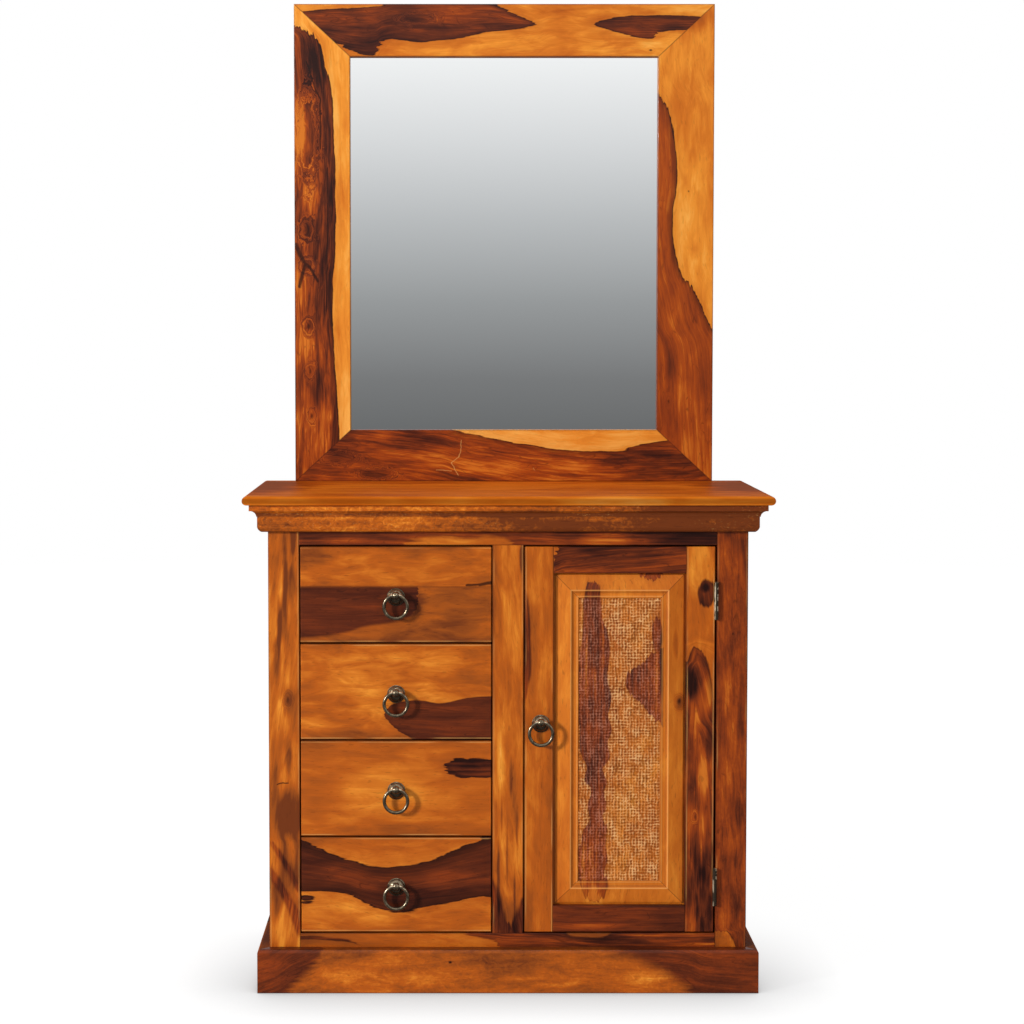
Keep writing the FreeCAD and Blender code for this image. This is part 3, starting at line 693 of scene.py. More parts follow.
class DRESSER_OT_case(bpy.types.Operator):
    """Finish the posts, rails, side panels and plinth of the case"""

    bl_idname = "dresser.case"
    bl_label = "Case boards"

    def execute(self, context):
        board("post_front_left", "upright", seed=3.0, follow=0.15, lean=-0.17, dark=0.14, figure=1.2,
            streak=0.75, gleam=0.35, soft=0.004, torn=0.5, line=0.2,
            heart=[([(0, 1.6), (0.17, 1.45), (0.205, 0.88), (0.246, 0.55), (0.307, -0.08), (0.33, -0.5),
                     (1, -0.8)],
                    [(0, 1.7), (0.17, 1.6), (0.205, 1.1), (0.246, 0.76), (0.307, 0.1), (0.33, -0.6),
                     (1, -1)]),
                   ([(0, 1.7), (0.09, 1.15), (0.116, 0.9), (0.178, 0.5), (0.229, 0.03), (0.26, -0.4),
                     (1, -0.8)],
                    [(0, 1.8), (0.14, 1.2), (0.164, 0.95), (0.213, 0.52), (0.254, 0.05), (0.275, -0.5),
                     (1, -1)])],
            knots=[(0.6, 0.62, 0.012, 0.006, 0.6)],
            smudges=[(0.85, 0.55, 0.08, 0.006, -0.5), (0.93, 0.8, 0.05, 0.006, -0.5),
                     (0.75, 0.35, 0.06, 0.005, -0.5), (0.48, 0.65, 0.04, 0.01, -0.5),
                     (0.36, 0.5, 0.05, 0.02, -0.3), (0.373, 0.75, 0.06, 0.026, -0.3),
                     (0.6, 0.62, 0.035, 0.016, -0.4), (0.84, 0.75, 0.05, 0.009, -0.3),
                     (0.76, 0.5, 0.05, 0.009, -0.3), (0.68, 0.28, 0.05, 0.009, -0.3),
                     (0.22, 0.6, 0.08, 0.045, -0.45), (0.48, 0.3, 0.05, 0.02, -0.15)],
            marks=[(0.426, 0.28, 0.428, 0.62, 0.0016)])
        board("post_front_right", "upright", seed=11.0, follow=0.3, lean=0.03, swirl=2.0, dark=0.13,
            contrast=0.6, streak=0.1, burl=0.5, flecks=0.08, gleam=0.35, soft=0.002, torn=0.4,
            heart=[([(0, 1.3), (0.04, 1.05), (0.07, 0.8), (0.1, 0.6), (0.118, 0.45), (0.124, -0.1),
                     (0.13, -0.6), (1, -0.6)],
                    None)],
            knots=[(0.735, 0.52, 0.006, 0.004, 0.7)],
            smudges=[(0.5, 0.6, 0.09, 0.03, 0.12), (0.25, 0.3, 0.08, 0.03, -0.14),
                     (0.62, 0.3, 0.05, 0.014, 0.4), (0.55, 0.8, 0.04, 0.012, -0.4),
                     (0.42, 0.3, 0.05, 0.014, 0.35), (0.37, 0.75, 0.035, 0.014, -0.45),
                     (0.3, 0.45, 0.03, 0.016, 0.35), (0.19, 0.7, 0.04, 0.014, -0.4),
                     (0.86, 0.6, 0.05, 0.016, 0.3), (0.15, 0.3, 0.03, 0.012, 0.4),
                     (0.7, 0.75, 0.03, 0.01, 0.35), (0.95, 0.3, 0.03, 0.012, -0.35)])
        board("posts_back", "upright", seed=17.0)
        board("centre_stile", "upright", seed=23.0, follow=0.0, lean=0.05, swirl=1.8, sap=0.04, dark=-0.08,
            figure=1.1, contrast=0.8, streak=0.6, flecks=0.2, gleam=0.3, soft=0.005, line=0.1,
            heart=[(None,
                    [(0, 2), (0.018, 1.3), (0.03, 0.48), (0.06, 0.38), (0.09, 0.26), (0.12, 0.14),
                     (0.14, 0.0), (0.16, -0.4), (1, -1)]),
                   ([(0, -1), (0.018, 0.4), (0.035, 0.66), (0.07, 0.84), (0.09, 1.0), (0.11, 1.4), (1, 2)],
                    None)],
            smudges=[(0.05, 0.5, 0.05, 0.03, -0.35), (0.13, 0.2, 0.1, 0.003, -0.45),
                     (0.21, 0.48, 0.08, 0.003, -0.35), (0.1, 0.72, 0.06, 0.003, -0.4),
                     (0.27, 0.8, 0.05, 0.003, -0.35), (0.3, 0.3, 0.05, 0.003, -0.3),
                     (0.97, 0.93, 0.03, 0.004, -0.7), (0.4, 0.6, 0.04, 0.003, -0.3),
                     (0.3, 0.55, 0.09, 0.02, -0.15), (0.44, 0.25, 0.08, 0.01, 0.25),
                     (0.2, 0.8, 0.06, 0.01, 0.2)],
            scratches=[(0.63, 0.35, 0.655, 0.48, 0.001), (0.648, 0.26, 0.665, 0.44, 0.001)])
        board("top_rail", "level", seed=29.0, follow=0.0, sap=-0.06, dark=-0.08, contrast=0.9, soft=0.005,
            torn=2.0, line=0.2,
            heart=[([(0, -1), (0.2, -1), (0.26, 0.08), (0.32, 0.17), (0.4, 0.12), (0.46, 0.2),
                     (0.51, 0.06), (0.54, -1), (1, -1)],
                    None)],
            smudges=[(0.1, 0.1, 0.05, 0.02, 0.2), (0.73, 0.1, 0.06, 0.03, 0.4),
                     (0.94, 0.1, 0.08, 0.04, -0.4)])
        board("bottom_rail", "level", seed=31.0, follow=0.2, lean=0.04, dark=0.1, contrast=1.3, soft=0.002,
            line=0.5,
            heart=[([(0, 1.6), (0.3, 1.35), (0.4, 0.96), (0.47, 0.78), (0.52, 0.2), (1, 0.2)],
                    [(0, 1.7), (0.6, 1.4), (0.66, 0.9), (0.72, 0.86), (0.78, 1.3), (1, 1.5)]),
                   ([(0, 0.8), (0.1, 0.76), (0.2, 0.5), (1, 0.5)],
                    [(0, 0.9), (0.1, 0.84), (0.2, 0.4), (1, 0.4)])])
        board("carcass_rails", "round", seed=33.0, dark=-0.05)
        board("side_panel_left", "side", seed=37.0, follow=0.5)
        board("side_panel_right", "side", seed=41.0, follow=0.5)
        board("plinth_front", "level", seed=43.0, follow=0.3, lean=-0.1, swirl=1.5, sap=-0.06, figure=1.0,
            contrast=0.5, streak=0.35, burl=0.5, shine=1.1, soft=0.014, line=0.12,
            heart=[([(0, -1), (0.04, -0.5), (0.064, 0.05), (0.1, 0.5), (0.128, 0.9), (0.15, 1.4),
                     (0.6, 1.5), (0.7, 1.05), (0.79, 0.62), (0.86, 0.1), (0.9, -0.5), (1, -1)],
                    None)],
            knots=[(0.385, 0.72, 0.008, 0.006, 1.0), (0.457, 0.72, 0.003, 0.002, 0.7)],
            smudges=[(0.17, 0.45, 0.05, 0.035, 0.15), (0.33, 0.4, 0.06, 0.02, 0.14),
                     (0.72, 0.5, 0.04, 0.03, -0.12), (0.02, 0.5, 0.06, 0.05, 0.2)])
        board("plinth_sides", "deep", seed=47.0, lean=0.05, sap=-0.1, dark=-0.1, shine=0.1)
        return {"FINISHED"}


class DRESSER_OT_top(bpy.types.Operator):
    """Finish the top board and the cornice under it"""

    bl_idname = "dresser.top"
    bl_label = "Top and cornice"

    def execute(self, context):
        # painted shade: the two smudges at the ends darken them against the overhead lamp and the sheen
        # there; the heartwood starts 3 % in from the front, leaving a pale sapwood strip that also stands in
        # for light on the rounded nose
        board("top_board", "flat", seed=53.0, follow=0.0, swirl=0.25, sap=0.26, dark=0.44, contrast=1.2,
            streak=0.9, flecks=0.2, stain=0.3, shine=0.05, soft=0.006, line=0.0,
            heart=[([(0, 0.03), (1, 0.03)], [(0, 2), (1, 2)])],
            smudges=[(0.0, 0.6, 0.13, 0.19, -1.1), (1.0, 0.6, 0.13, 0.19, -1.1)])
        # painted light and shade on the moulding: the long thin smudges at v 0.88, 0.04 and 0.17 are pale
        # highlight lines on the top fillet and the lower ogee, and the one at v 0.64 is a dark line of shade
        # in the cove
        board("cornice_front", "level", seed=59.0, swirl=0.5, sap=-0.16, streak=0.9, burl=1.5, flecks=0.3,
            glints=0.35, shine=0.9, heart=None,
            smudges=[(0.55, 0.4, 0.16, 0.04, -0.25), (0.32, 0.75, 0.1, 0.02, -0.12),
                     (1.0, 0.35, 0.38, 0.2, -0.5), (0.35, 0.88, 0.34, 0.006, 0.4),
                     (0.3, 0.5, 0.07, 0.016, 0.3), (0.17, 0.62, 0.05, 0.012, 0.2),
                     (0.5, 0.64, 3.0, 0.005, -0.55), (0.3, 0.04, 0.6, 0.006, 0.25),
                     (0.35, 0.17, 0.6, 0.003, 0.15)])
        board("cornice_returns", "deep", seed=61.0, sap=-0.1, burl=1.0, heart=None)
        return {"FINISHED"}


class DRESSER_OT_mirror_frame(bpy.types.Operator):
    """Finish the four mitred boards of the mirror frame"""

    bl_idname = "dresser.mirror_frame"
    bl_label = "Mirror frame"

    def execute(self, context):
        low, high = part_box("mirror_stile_left")[0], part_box("mirror_stile_right")[1]
        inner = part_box("mirror_stile_left")[1].x
        sill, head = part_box("mirror_rail_bottom")[1].z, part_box("mirror_rail_top")[0].z
        # the mitres of each side, bottom one first, from the frame's outer corner to its inner corner
        left = [(low.x, low.z, inner, sill), (low.x, high.z, inner, head)]
        right = [(high.x, low.z, -inner, sill), (high.x, high.z, -inner, head)]
        board("mirror_stile_left", "upright", seed=67.0, follow=0.4, swirl=1.8, sap=0.4, dark=0.1,
            figure=0.6, contrast=1.25, streak=0.6, flecks=0.1, burn=0.0, rim=0.014, mitre=left,
            heart=[(None,
                    [(0, 0.8), (0.106, 0.789), (0.169, 0.753), (0.379, 0.682), (0.484, 0.718),
                     (0.589, 0.735), (0.694, 0.718), (0.799, 0.682), (0.879, 0.556), (0.925, 0.431),
                     (0.942, 0.216), (0.957, -0.02), (1, -0.4)])],
            knots=[(0.327, 0.25, 0.016, 0.009, 0.8), (0.232, 0.27, 0.014, 0.008, 0.7),
                   (0.138, 0.3, 0.012, 0.007, 0.7), (0.73, 0.24, 0.075, 0.015, 0.0),
                   (0.53, 0.22, 0.018, 0.012, 0.5), (0.455, 0.2, 0.014, 0.011, 0.8)],
            smudges=[(0.88, 0.25, 0.07, 0.035, -0.55), (0.12, 0.2, 0.09, 0.03, 0.3),
                     (0.74, 0.08, 0.07, 0.014, 0.6), (0.6, 0.3, 0.05, 0.02, 0.4),
                     (0.5, 0.35, 0.05, 0.03, -0.15), (0.4, 0.4, 0.05, 0.02, -0.15),
                     (0.29, 0.2, 0.05, 0.02, 0.3), (0.19, 0.45, 0.05, 0.02, -0.3)],
            marks=[(0.5, 0.02, 0.463, 0.16, 0.0065), (0.463, 0.16, 0.425, 0.42, 0.0045),
                   (0.455, 0.18, 0.41, 0.08, 0.005), (0.66, 0.6, 0.36, 0.57, 0.0014),
                   (0.88, 0.22, 0.8, 0.46, 0.002), (0.8, 0.46, 0.7, 0.47, 0.002)])
        board("mirror_stile_right", "upright", seed=71.0, follow=0.5, swirl=1.4, sap=0.24, dark=0.28,
            figure=0.5, contrast=0.55, streak=0.3, flecks=0.15, burn=0.0, line=0.95, rim=0.016, mitre=right,
            heart=[(None,
                    [(0, 1.5), (0.27, 1.3), (0.325, 0.974), (0.373, 0.766), (0.409, 0.623), (0.438, 0.426),
                     (0.467, 0.354), (0.522, 0.275), (0.57, 0.265), (0.608, 0.318), (0.669, 0.345),
                     (0.703, 0.3), (0.77, 0.202), (0.811, 0.009), (0.84, -0.3), (1, -0.6)])],
            knots=[(0.169, 0.21, 0.01, 0.005, 0.7), (0.61, 0.55, 0.004, 0.003, 0.8)],
            smudges=[(0.17, 0.5, 0.05, 0.03, 0.25), (0.27, 0.3, 0.05, 0.02, -0.25),
                     (0.33, 0.4, 0.08, 0.02, 0.15), (0.06, 0.5, 0.06, 0.04, 0.2),
                     (0.98, 0.6, 0.04, 0.05, -0.8), (0.55, 0.12, 0.1, 0.012, -0.2)])
        board("mirror_rail_top", "level", seed=73.0, swirl=1.5, sap=0.17, dark=-0.03, figure=0.75,
            contrast=0.8, streak=0.4, flecks=0.1, burn=0.0, mitre=left[1:] + right[1:],
            heart=[([(0, 0.5), (0.065, 0.391), (0.1, 0.256), (0.148, 0.083), (0.184, 0.025),
                     (0.203, 0.199), (0.22, 0.314), (0.327, 0.276), (0.446, 0.43), (0.518, 0.507),
                     (0.578, 0.603), (0.62, 0.8), (1, 1.2)],
                    [(0, 0.85), (0.029, 0.854), (0.112, 0.912), (0.196, 0.95), (0.26, 1.1), (0.45, 1.06),
                     (0.487, 0.97), (0.53, 0.796), (0.578, 0.603), (0.62, 0.4), (1, 0)]),
                   ([(0, 1.2), (0.66, 0.8), (0.709, 0.603), (0.745, 0.507), (0.792, 0.411), (0.828, 0.353),
                     (0.847, 0.353), (0.864, 0.469), (0.923, 0.507), (1, 0.5)],
                    [(0, 0), (0.66, 0.4), (0.709, 0.603), (0.742, 0.7), (0.78, 0.758), (0.876, 0.796),
                     (0.971, 0.758), (1, 0.75)])],
            knots=[(0.3, 0.72, 0.03, 0.009, 0.15), (0.848, 0.12, 0.006, 0.004, 0.9)],
            smudges=[(0.34, 0.8, 0.06, 0.02, 0.22), (0.93, 0.62, 0.05, 0.02, -0.25),
                     (0.14, 0.6, 0.06, 0.03, -0.12)])
        board("mirror_rail_bottom", "level", seed=79.0, follow=0.5, lean=0.12, swirl=1.6, sap=0.32,
            dark=0.12, figure=0.6, flecks=0.1, burn=0.0, rim=0.014, mitre=left[:1] + right[:1],
            heart=[(None,
                    [(0, 1.4), (0.35, 1.1), (0.38, 0.993), (0.494, 0.81), (0.589, 0.665), (0.685, 0.588),
                     (0.761, 0.588), (0.828, 0.723), (0.892, 0.8), (0.95, 0.9), (1, 1.2)])],
            knots=[(0.1, 0.45, 0.035, 0.01, 0.0), (0.19, 0.15, 0.03, 0.01, 0.0)],
            smudges=[(0.12, 0.6, 0.06, 0.03, -0.15), (0.78, 0.4, 0.05, 0.02, -0.25),
                     (0.47, 0.25, 0.09, 0.02, 0.3), (0.66, 0.3, 0.07, 0.015, 0.25),
                     (0.28, 0.75, 0.09, 0.02, -0.2)],
            scratches=[(0.399, 0.8, 0.393, 0.48, 0.0012), (0.393, 0.48, 0.376, 0.37, 0.0012),
                       (0.376, 0.37, 0.391, 0.12, 0.0012), (0.338, 0.22, 0.376, 0.21, 0.001),
                       (0.57, 0.25, 0.59, 0.06, 0.001)])
        return {"FINISHED"}


class DRESSER_OT_mirror_glass(bpy.types.Operator):
    """Silver the mirror and finish what stands behind it"""

    bl_idname = "dresser.mirror_glass"
    bl_label = "Mirror glass and back"

    def execute(self, context):
        dress("mirror_glass", silvered_glass())
        dress("mirror_backing", plain_timber("mirror_backing", "B98A5B", "94683F", "upright", 90.0))
        board("mirror_supports", "upright", seed=83.0)
        return {"FINISHED"}


class DRESSER_OT_drawers(bpy.types.Operator):
    """Finish the four drawers, inside and out"""

    bl_idname = "dresser.drawers"
    bl_label = "Drawers"

    WALL = 12.5 * MM  # thickness of a drawer's sides

    def execute(self, context):
        board("drawer_1_front", "level", seed=89.0, follow=0.12, sap=-0.03, dark=-0.15, figure=0.9,
            contrast=0.4, streak=0.3, burn=0.14, gleam=0.45, soft=0.004, torn=0.5, line=0.15, glue=0.582,
            low_side=-0.24,
            heart=[([(0, 0.05), (0.22, 0.093), (0.33, 0.163), (0.48, 0.21), (0.56, 0.256), (0.6, 0.33),
                     (0.615, 0.42), (0.63, 0.7), (1, 0.9)],
                    [(0, 0.582), (1, 0.582)])],
            smudges=[(0.58, 0.4, 0.03, 0.03, -0.4), (0.04, 0.86, 0.04, 0.025, -0.3),
                     (0.3, 0.86, 0.05, 0.012, 0.2)],
            marks=[(0.87, 0.598, 1.0, 0.618, 0.0028), (0.94, 0.605, 1.0, 0.625, 0.004)])
        board("drawer_2_front", "level", seed=97.0, follow=0.08, sap=0.02, dark=-0.13, figure=0.9,
            contrast=0.4, streak=0.25, burn=0.14, gleam=0.45, soft=0.0012, torn=0.4, line=0.3,
            heart=[([(0, 0.5), (0.4, 0.35), (0.438, 0.242), (0.475, 0.158), (0.517, 0.085), (0.57, 0.022),
                     (0.675, -0.1), (1, -0.6)],
                    [(0, 0), (0.41, 0.1), (0.438, 0.263), (0.454, 0.325), (0.491, 0.378), (0.622, 0.409),
                     (0.728, 0.378), (0.886, 0.44), (1, 0.451)])],
            smudges=[(0.25, 0.55, 0.07, 0.035, 0.18), (0.85, 0.62, 0.05, 0.02, -0.15)])
        board("drawer_3_front", "level", seed=101.0, dark=-0.12, figure=0.6, streak=0.4, burn=0.16,
            gleam=0.45, torn=1.5, line=0.5,
            blots=[(0.85, 0.715, 0.03, 0.0175), (0.93, 0.76, 0.028, 0.01), (0.94, 0.67, 0.034, 0.01),
                   (0.98, 0.72, 0.024, 0.013)],
            smudges=[(0.42, 0.5, 0.12, 0.055, 0.3), (0.82, 0.72, 0.05, 0.03, -0.25),
                     (0.08, 0.4, 0.06, 0.06, -0.22), (0.62, 0.05, 0.2, 0.02, -0.2)])
        board("drawer_4_front", "level", seed=103.0, follow=0.7, dark=-0.12, contrast=0.5, streak=0.35,
            gleam=0.45, soft=0.0012, line=0.9, rim=0.03,
            heart=[([(0, 0.43), (0.227, 0.409), (0.332, 0.315), (0.438, 0.231), (0.517, 0.21),
                     (0.675, 0.273), (0.807, 0.315), (0.913, 0.367), (1, 0.367)],
                    [(0, 0.98), (0.147, 0.838), (0.253, 0.765), (0.359, 0.702), (0.517, 0.691),
                     (0.675, 0.754), (0.807, 0.869), (0.939, 0.974), (1, 1.05)])],
            blots=[(0.02, 0.36, 0.014, 0.005), (0.04, 0.31, 0.012, 0.003)],
            smudges=[(0.25, 0.66, 0.05, 0.022, 0.3), (0.72, 0.58, 0.05, 0.022, 0.3),
                     (0.52, 0.4, 0.05, 0.04, -0.2), (0.35, 0.15, 0.06, 0.03, 0.15)])
        low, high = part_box("drawer_1_box")
        sides = low.x + self.WALL, high.x - self.WALL
        box = plain_timber("drawer_box_wood", "C99A63", "A37544", "level", 120.0, sides)
        ply = plain_timber("drawer_plywood", "CDA878", "B48C5C", "bottom", 60.0)
        for k in range(1, 5):
            dress(f"drawer_{k}_box", box)
            dress(f"drawer_{k}_bottom", ply)
        return {"FINISHED"}


class DRESSER_OT_door(bpy.types.Operator):
    """Finish the frame of the door"""

    bl_idname = "dresser.door"
    bl_label = "Door frame"

    def execute(self, context):
        board("door_stile_pull", "upright", seed=107.0, follow=0.2, sap=-0.02, figure=0.9, gleam=0.4,
            soft=0.0025, line=0.3,
            heart=[(None,
                    [(0, -0.6), (0.55, -0.4), (0.59, -0.02), (0.642, 0.12), (0.706, 0.22), (0.758, 0.203),
                     (0.862, 0.116), (0.9, -0.02), (0.93, -0.3), (1, -0.6)])],
            knots=[(0.267, 0.99, 0.006, 0.004, 0.8)])
        board("door_stile_hinge", "upright", seed=109.0, follow=0.55, nest=True, swirl=1.3, sap=0.1,
            dark=0.1, figure=0.95, contrast=1.1, gleam=0.4, soft=0.002, torn=0.5, line=0.7, rim=0.012,
            heart=[([(0, -0.5), (0.67, -0.25), (0.706, 0.05), (0.735, 0.2), (0.75, 0.5), (0.78, 1), (1, 1)],
                    [(0, 1.7), (0.5, 1.35), (0.559, 1.08), (0.642, 0.92), (0.706, 0.74), (0.735, 0.45),
                     (0.75, 0.2), (0.78, -0.5), (1, -0.8)])],
            blots=[(0.88, 0.7, 0.024, 0.015)], knots=[(0.3, 0.35, 0.01, 0.005, 0.5)],
            smudges=[(0.95, 0.5, 0.06, 0.03, 0.2), (0.11, 0.2, 0.06, 0.024, -0.5),
                     (0.09, 0.7, 0.09, 0.03, -0.8), (0.2, 0.55, 0.07, 0.02, -0.35),
                     (0.895, 0.66, 0.013, 0.01, -0.8), (0.655, 0.22, 0.03, 0.012, -0.6),
                     (0.52, 0.35, 0.06, 0.012, 0.4), (0.84, 0.5, 0.05, 0.02, -0.15),
                     (0.62, 0.75, 0.03, 0.01, 0.35), (0.42, 0.6, 0.06, 0.012, 0.55),
                     (0.36, 0.25, 0.04, 0.01, -0.3), (0.26, 0.6, 0.05, 0.008, 0.35),
                     (0.47, 0.8, 0.05, 0.008, -0.3)])
        board("door_rail_top", "level", seed=113.0, follow=0.1, lean=-0.12, dark=-0.01, contrast=0.9,
            heart=[(None, [(0, 0.4), (0.04, 1.0), (0.1, 1.5), (1, 1.5)])])
        board("door_rail_bottom", "level", seed=127.0, follow=0.1, dark=-0.01, contrast=0.6,
            heart=[(None, [(0, 1.4), (1, 1.4)])], smudges=[(0.3, 0.25, 0.06, 0.008, 0.5)])
        return {"FINISHED"}


class DRESSER_OT_door_panel(bpy.types.Operator):
    """Cut the raised panel of the door, with its bevels, bead and carved field"""

    bl_idname = "dresser.door_panel"
    bl_label = "Carved door panel"

    # distance in from the frame's opening and depth behind the door's face, in millimetres
    PROFILE = [(-7.5, 17.0), (-7.5, 10.0), (3.5, 10.0), (3.5, 7.6), (3.7, 7.15), (4.2, 6.95), (28.2, 1.75),
               (28.9, 1.5), (29.8, 1.4), (30.7, 1.55), (31.4, 2.1), (33.5, 3.6), (36.5, 4.2), (39.5, 3.8),
               (42.0, 3.1), (43.4, 3.1)]
    SHARP = (0, 1, 2, 3, 15)  # the steps of the profile whose edges stay sharp
    BEAD, HOLLOW, LIP = 30.4, 34.0, 41.0  # its bead and lip, painted pale as a highlight that also stands for rubbed wear, and the hollow behind the bead, painted dark as shade
    BACK = 8 * MM, 12 * MM  # behind these depths the panel is plain

    def execute(self, context):
        shape = context.scene.dresser_panel
        low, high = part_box("door_panel")
        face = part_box("door_stile_pull")[0].y
        tongue = -self.PROFILE[0][0] * MM
        opening = low.x + tongue, high.x - tongue, low.z + tongue, high.z - tongue

        def carved(tree, colour, mask):
            return self.colour_carving(tree, colour, mask, shape, face, opening)

        data = self.cut(shape, face, opening)
        panel = bpy.data.objects.new("carved_door_panel", data)
        context.scene.collection.objects.link(panel)
        even = panel.modifiers.new("even_shading", "WEIGHTED_NORMAL")
        even.keep_sharp = True
        wood = sheesham("door_panel", "upright", seed=131.0, follow=0.15, swirl=0.6, sap=0.12, dark=0.2,
            figure=0.4, streak=0.15, burn=0.0, soft=0.0014, torn=0.9, line=0.25, carved=carved,
            heart=[([(0, 0.6), (0.018, 0.33), (0.04, 0.25), (0.1, 0.215), (0.17, 0.205), (0.2, 0.235),
                     (0.235, 0.245), (0.25, 0.29), (0.3, 0.275), (0.35, 0.3), (0.385, 0.255), (0.42, 0.27),
                     (0.46, 0.225), (0.55, 0.215), (0.7, 0.21), (0.82, 0.235), (0.93, 0.25), (0.95, 0.27),
                     (0.962, 0.33), (0.968, 0.5), (1, 0.8)],
                    [(0, 0.2), (0.018, 0.33), (0.04, 0.4), (0.08, 0.425), (0.11, 0.4), (0.15, 0.42),
                     (0.2, 0.405), (0.24, 0.415), (0.27, 0.385), (0.31, 0.41), (0.35, 0.395),
                     (0.38, 0.415), (0.41, 0.385), (0.45, 0.43), (0.49, 0.415), (0.53, 0.445),
                     (0.57, 0.42), (0.62, 0.44), (0.68, 0.415), (0.75, 0.43), (0.82, 0.41), (0.86, 0.375),
                     (0.93, 0.36), (0.95, 0.35), (0.962, 0.32), (0.968, 0.2), (1, -0.1)]),
                   ([(0, 1.4), (0.5, 1.2), (0.545, 0.8), (0.6, 0.68), (0.675, 0.545), (0.72, 0.64),
                     (0.765, 0.78), (0.79, 0.9), (0.8, 1.4), (1, 1.4)],
                    [(0, 0.81), (1, 0.81)])],
            blots=[(0.81, 0.765, 0.03, 0.01), (0.985, 0.72, 0.01, 0.022)],
            knots=[(0.613, 0.925, 0.014, 0.009, 0.85)],
            smudges=[(0.61, 0.93, 0.018, 0.012, -1.0), (0.78, 0.9, 0.03, 0.006, -0.7),
                     (0.7, 0.25, 0.1, 0.012, 0.3), (0.72, 0.795, 0.07, 0.004, -0.6),
                     (0.03, 0.32, 0.03, 0.02, 0.4)])
        data.materials.append(wood)
        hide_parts("door_panel")
        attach(panel, "door")
        return {"FINISHED"}

    def cut(self, shape, face, opening):
        """The panel's mesh: the profile all round, and the carved field inside it."""
        x0, x1, z0, z1 = opening
        mesh = bmesh.new()
        rings = []
        for margin, depth in self.PROFILE:
            m, y = margin * MM, face + depth * MM
            corners = (x0 + m, z0 + m), (x1 - m, z0 + m), (x1 - m, z1 - m), (x0 + m, z1 - m)
            rings.append([mesh.verts.new((x, y, z)) for x, z in corners])
        mesh.faces.new(rings[0])
        creases = []
        for outer, inner in zip(rings, rings[1:]):
            for k in range(4):
                after = (k + 1) % 4
                mesh.faces.new((outer[k], outer[after], inner[after], inner[k]))
                creases.append((outer[k], inner[k]))
        for number in self.SHARP:
            creases += [(rings[number][k], rings[number][(k + 1) % 4]) for k in range(4)]
        field = self.lattice(mesh, shape, face, opening)
        sides = field[0], [row[-1] for row in field], field[-1][::-1], [row[0] for row in field][::-1]
        for k, side in enumerate(sides):
            mesh.faces.new([rings[-1][k], rings[-1][(k + 1) % 4]] + side[::-1])
        for part in mesh.faces:
            part.smooth = True
        for crease in creases:
            mesh.edges.get(crease).smooth = False
        bmesh.ops.recalc_face_normals(mesh, faces=mesh.faces)
        data = bpy.data.meshes.new("carved_door_panel")
        mesh.to_mesh(data)
        mesh.free()
        return data

    def lattice(self, mesh, shape, face, opening):
        """Rows of vertices from the bottom up: raised threads both ways, with pits between them."""
        x0, x1, z0, z1 = opening
        m = (self.PROFILE[-1][0] + 0.2) * MM
        wide, tall = x1 - x0 - 2 * m, z1 - z0 - 2 * m
        nx, nz = round(wide / shape.pitch) * shape.cuts, round(tall / shape.pitch) * shape.cuts
        rows = []
        for j in range(nz + 1):
            row = []
            for i in range(nx + 1):
                cx, cz = i / shape.cuts, j / shape.cuts
                if i in (0, nx) or j in (0, nz):
                    bow, depth = Vector(), shape.pit * 0.92
                else:
                    bow = Vector([
                        noise.noise((cx * 0.37, cz * 0.33, layer)) for layer in (4.0, 14.0)]) * 0.32
                    depth = shape.pit - (shape.pit - shape.crest) * self.lift(cx, cz)
                x = x0 + m + wide * min(max((i + bow.x * shape.cuts) / nx, 0), 1)
                z = z0 + m + tall * min(max((j + bow.y * shape.cuts) / nz, 0), 1)
                row.append(mesh.verts.new((x, face + depth, z)))
            rows.append(row)
        for low_row, high_row in zip(rows, rows[1:]):
            for i in range(nx):
                mesh.faces.new((low_row[i], low_row[i + 1], high_row[i + 1], high_row[i]))
        return rows

    @staticmethod
    def lift(cx, cz):
        """How high the carving stands at so many cells across and up: 0 in a pit and 1 on a crest."""
        upright, level = 0.5 + 0.5 * math.cos(math.tau * cx), 0.5 + 0.5 * math.cos(math.tau * cz)
        worn = 0.5 + noise.noise((cx * 0.45, cz * 0.6, 9.0))
        lift = max(upright * (0.75 + 0.25 * worn), level * (0.95 - 0.25 * worn))
        lift = 0.82 * lift + 0.18 * upright * level
        uneven = (0.46 * noise.noise((cx * 1.3, cz * 1.3, 1.0))
                  + 0.30 * noise.noise((cx * 0.35, cz * 0.3, 2.0)))
        return min(max(lift + uneven, 0.0), 1.0)

    def colour_carving(self, tree, colour, mask, shape, face, opening):
        """Painted shade in the mitre creases, the quirk, the hollow and the pits, and pale bead, lip and
        crests, painted highlights that also stand for rubbed wear.
        """
        x0, x1, z0, z1 = opening
        x, y, z = tree.place()
        in_x, in_z = (x - x0).least(x1 - x), (z - z0).least(z1 - z)
        margin = in_x.least(in_z) / MM
        # painted shade: dark lines in the mitre creases, in the hollow behind the bead and in the quirk at
        # the panel's edge
        dark = abs(in_x - in_z).fade(0.2 * MM, 1.2 * MM, 0.6)
        dark = dark.most(abs(margin - self.HOLLOW).fade(0.6, 2.6, 0.28)).most(margin.fade(0.0, 3.0, 0.6))
        # painted highlight on the bead and the lip, which also stands for rubbed wear
        rubbed = abs(margin - self.BEAD).fade(0.4, 1.8, 0.62)
        rubbed = rubbed.most(abs(margin - self.LIP).fade(0.4, 1.6, 0.40))
        bevel = tree.blend(rubbed, tree.blend(dark, colour, paint("3A1408")), paint("F2A95C"))
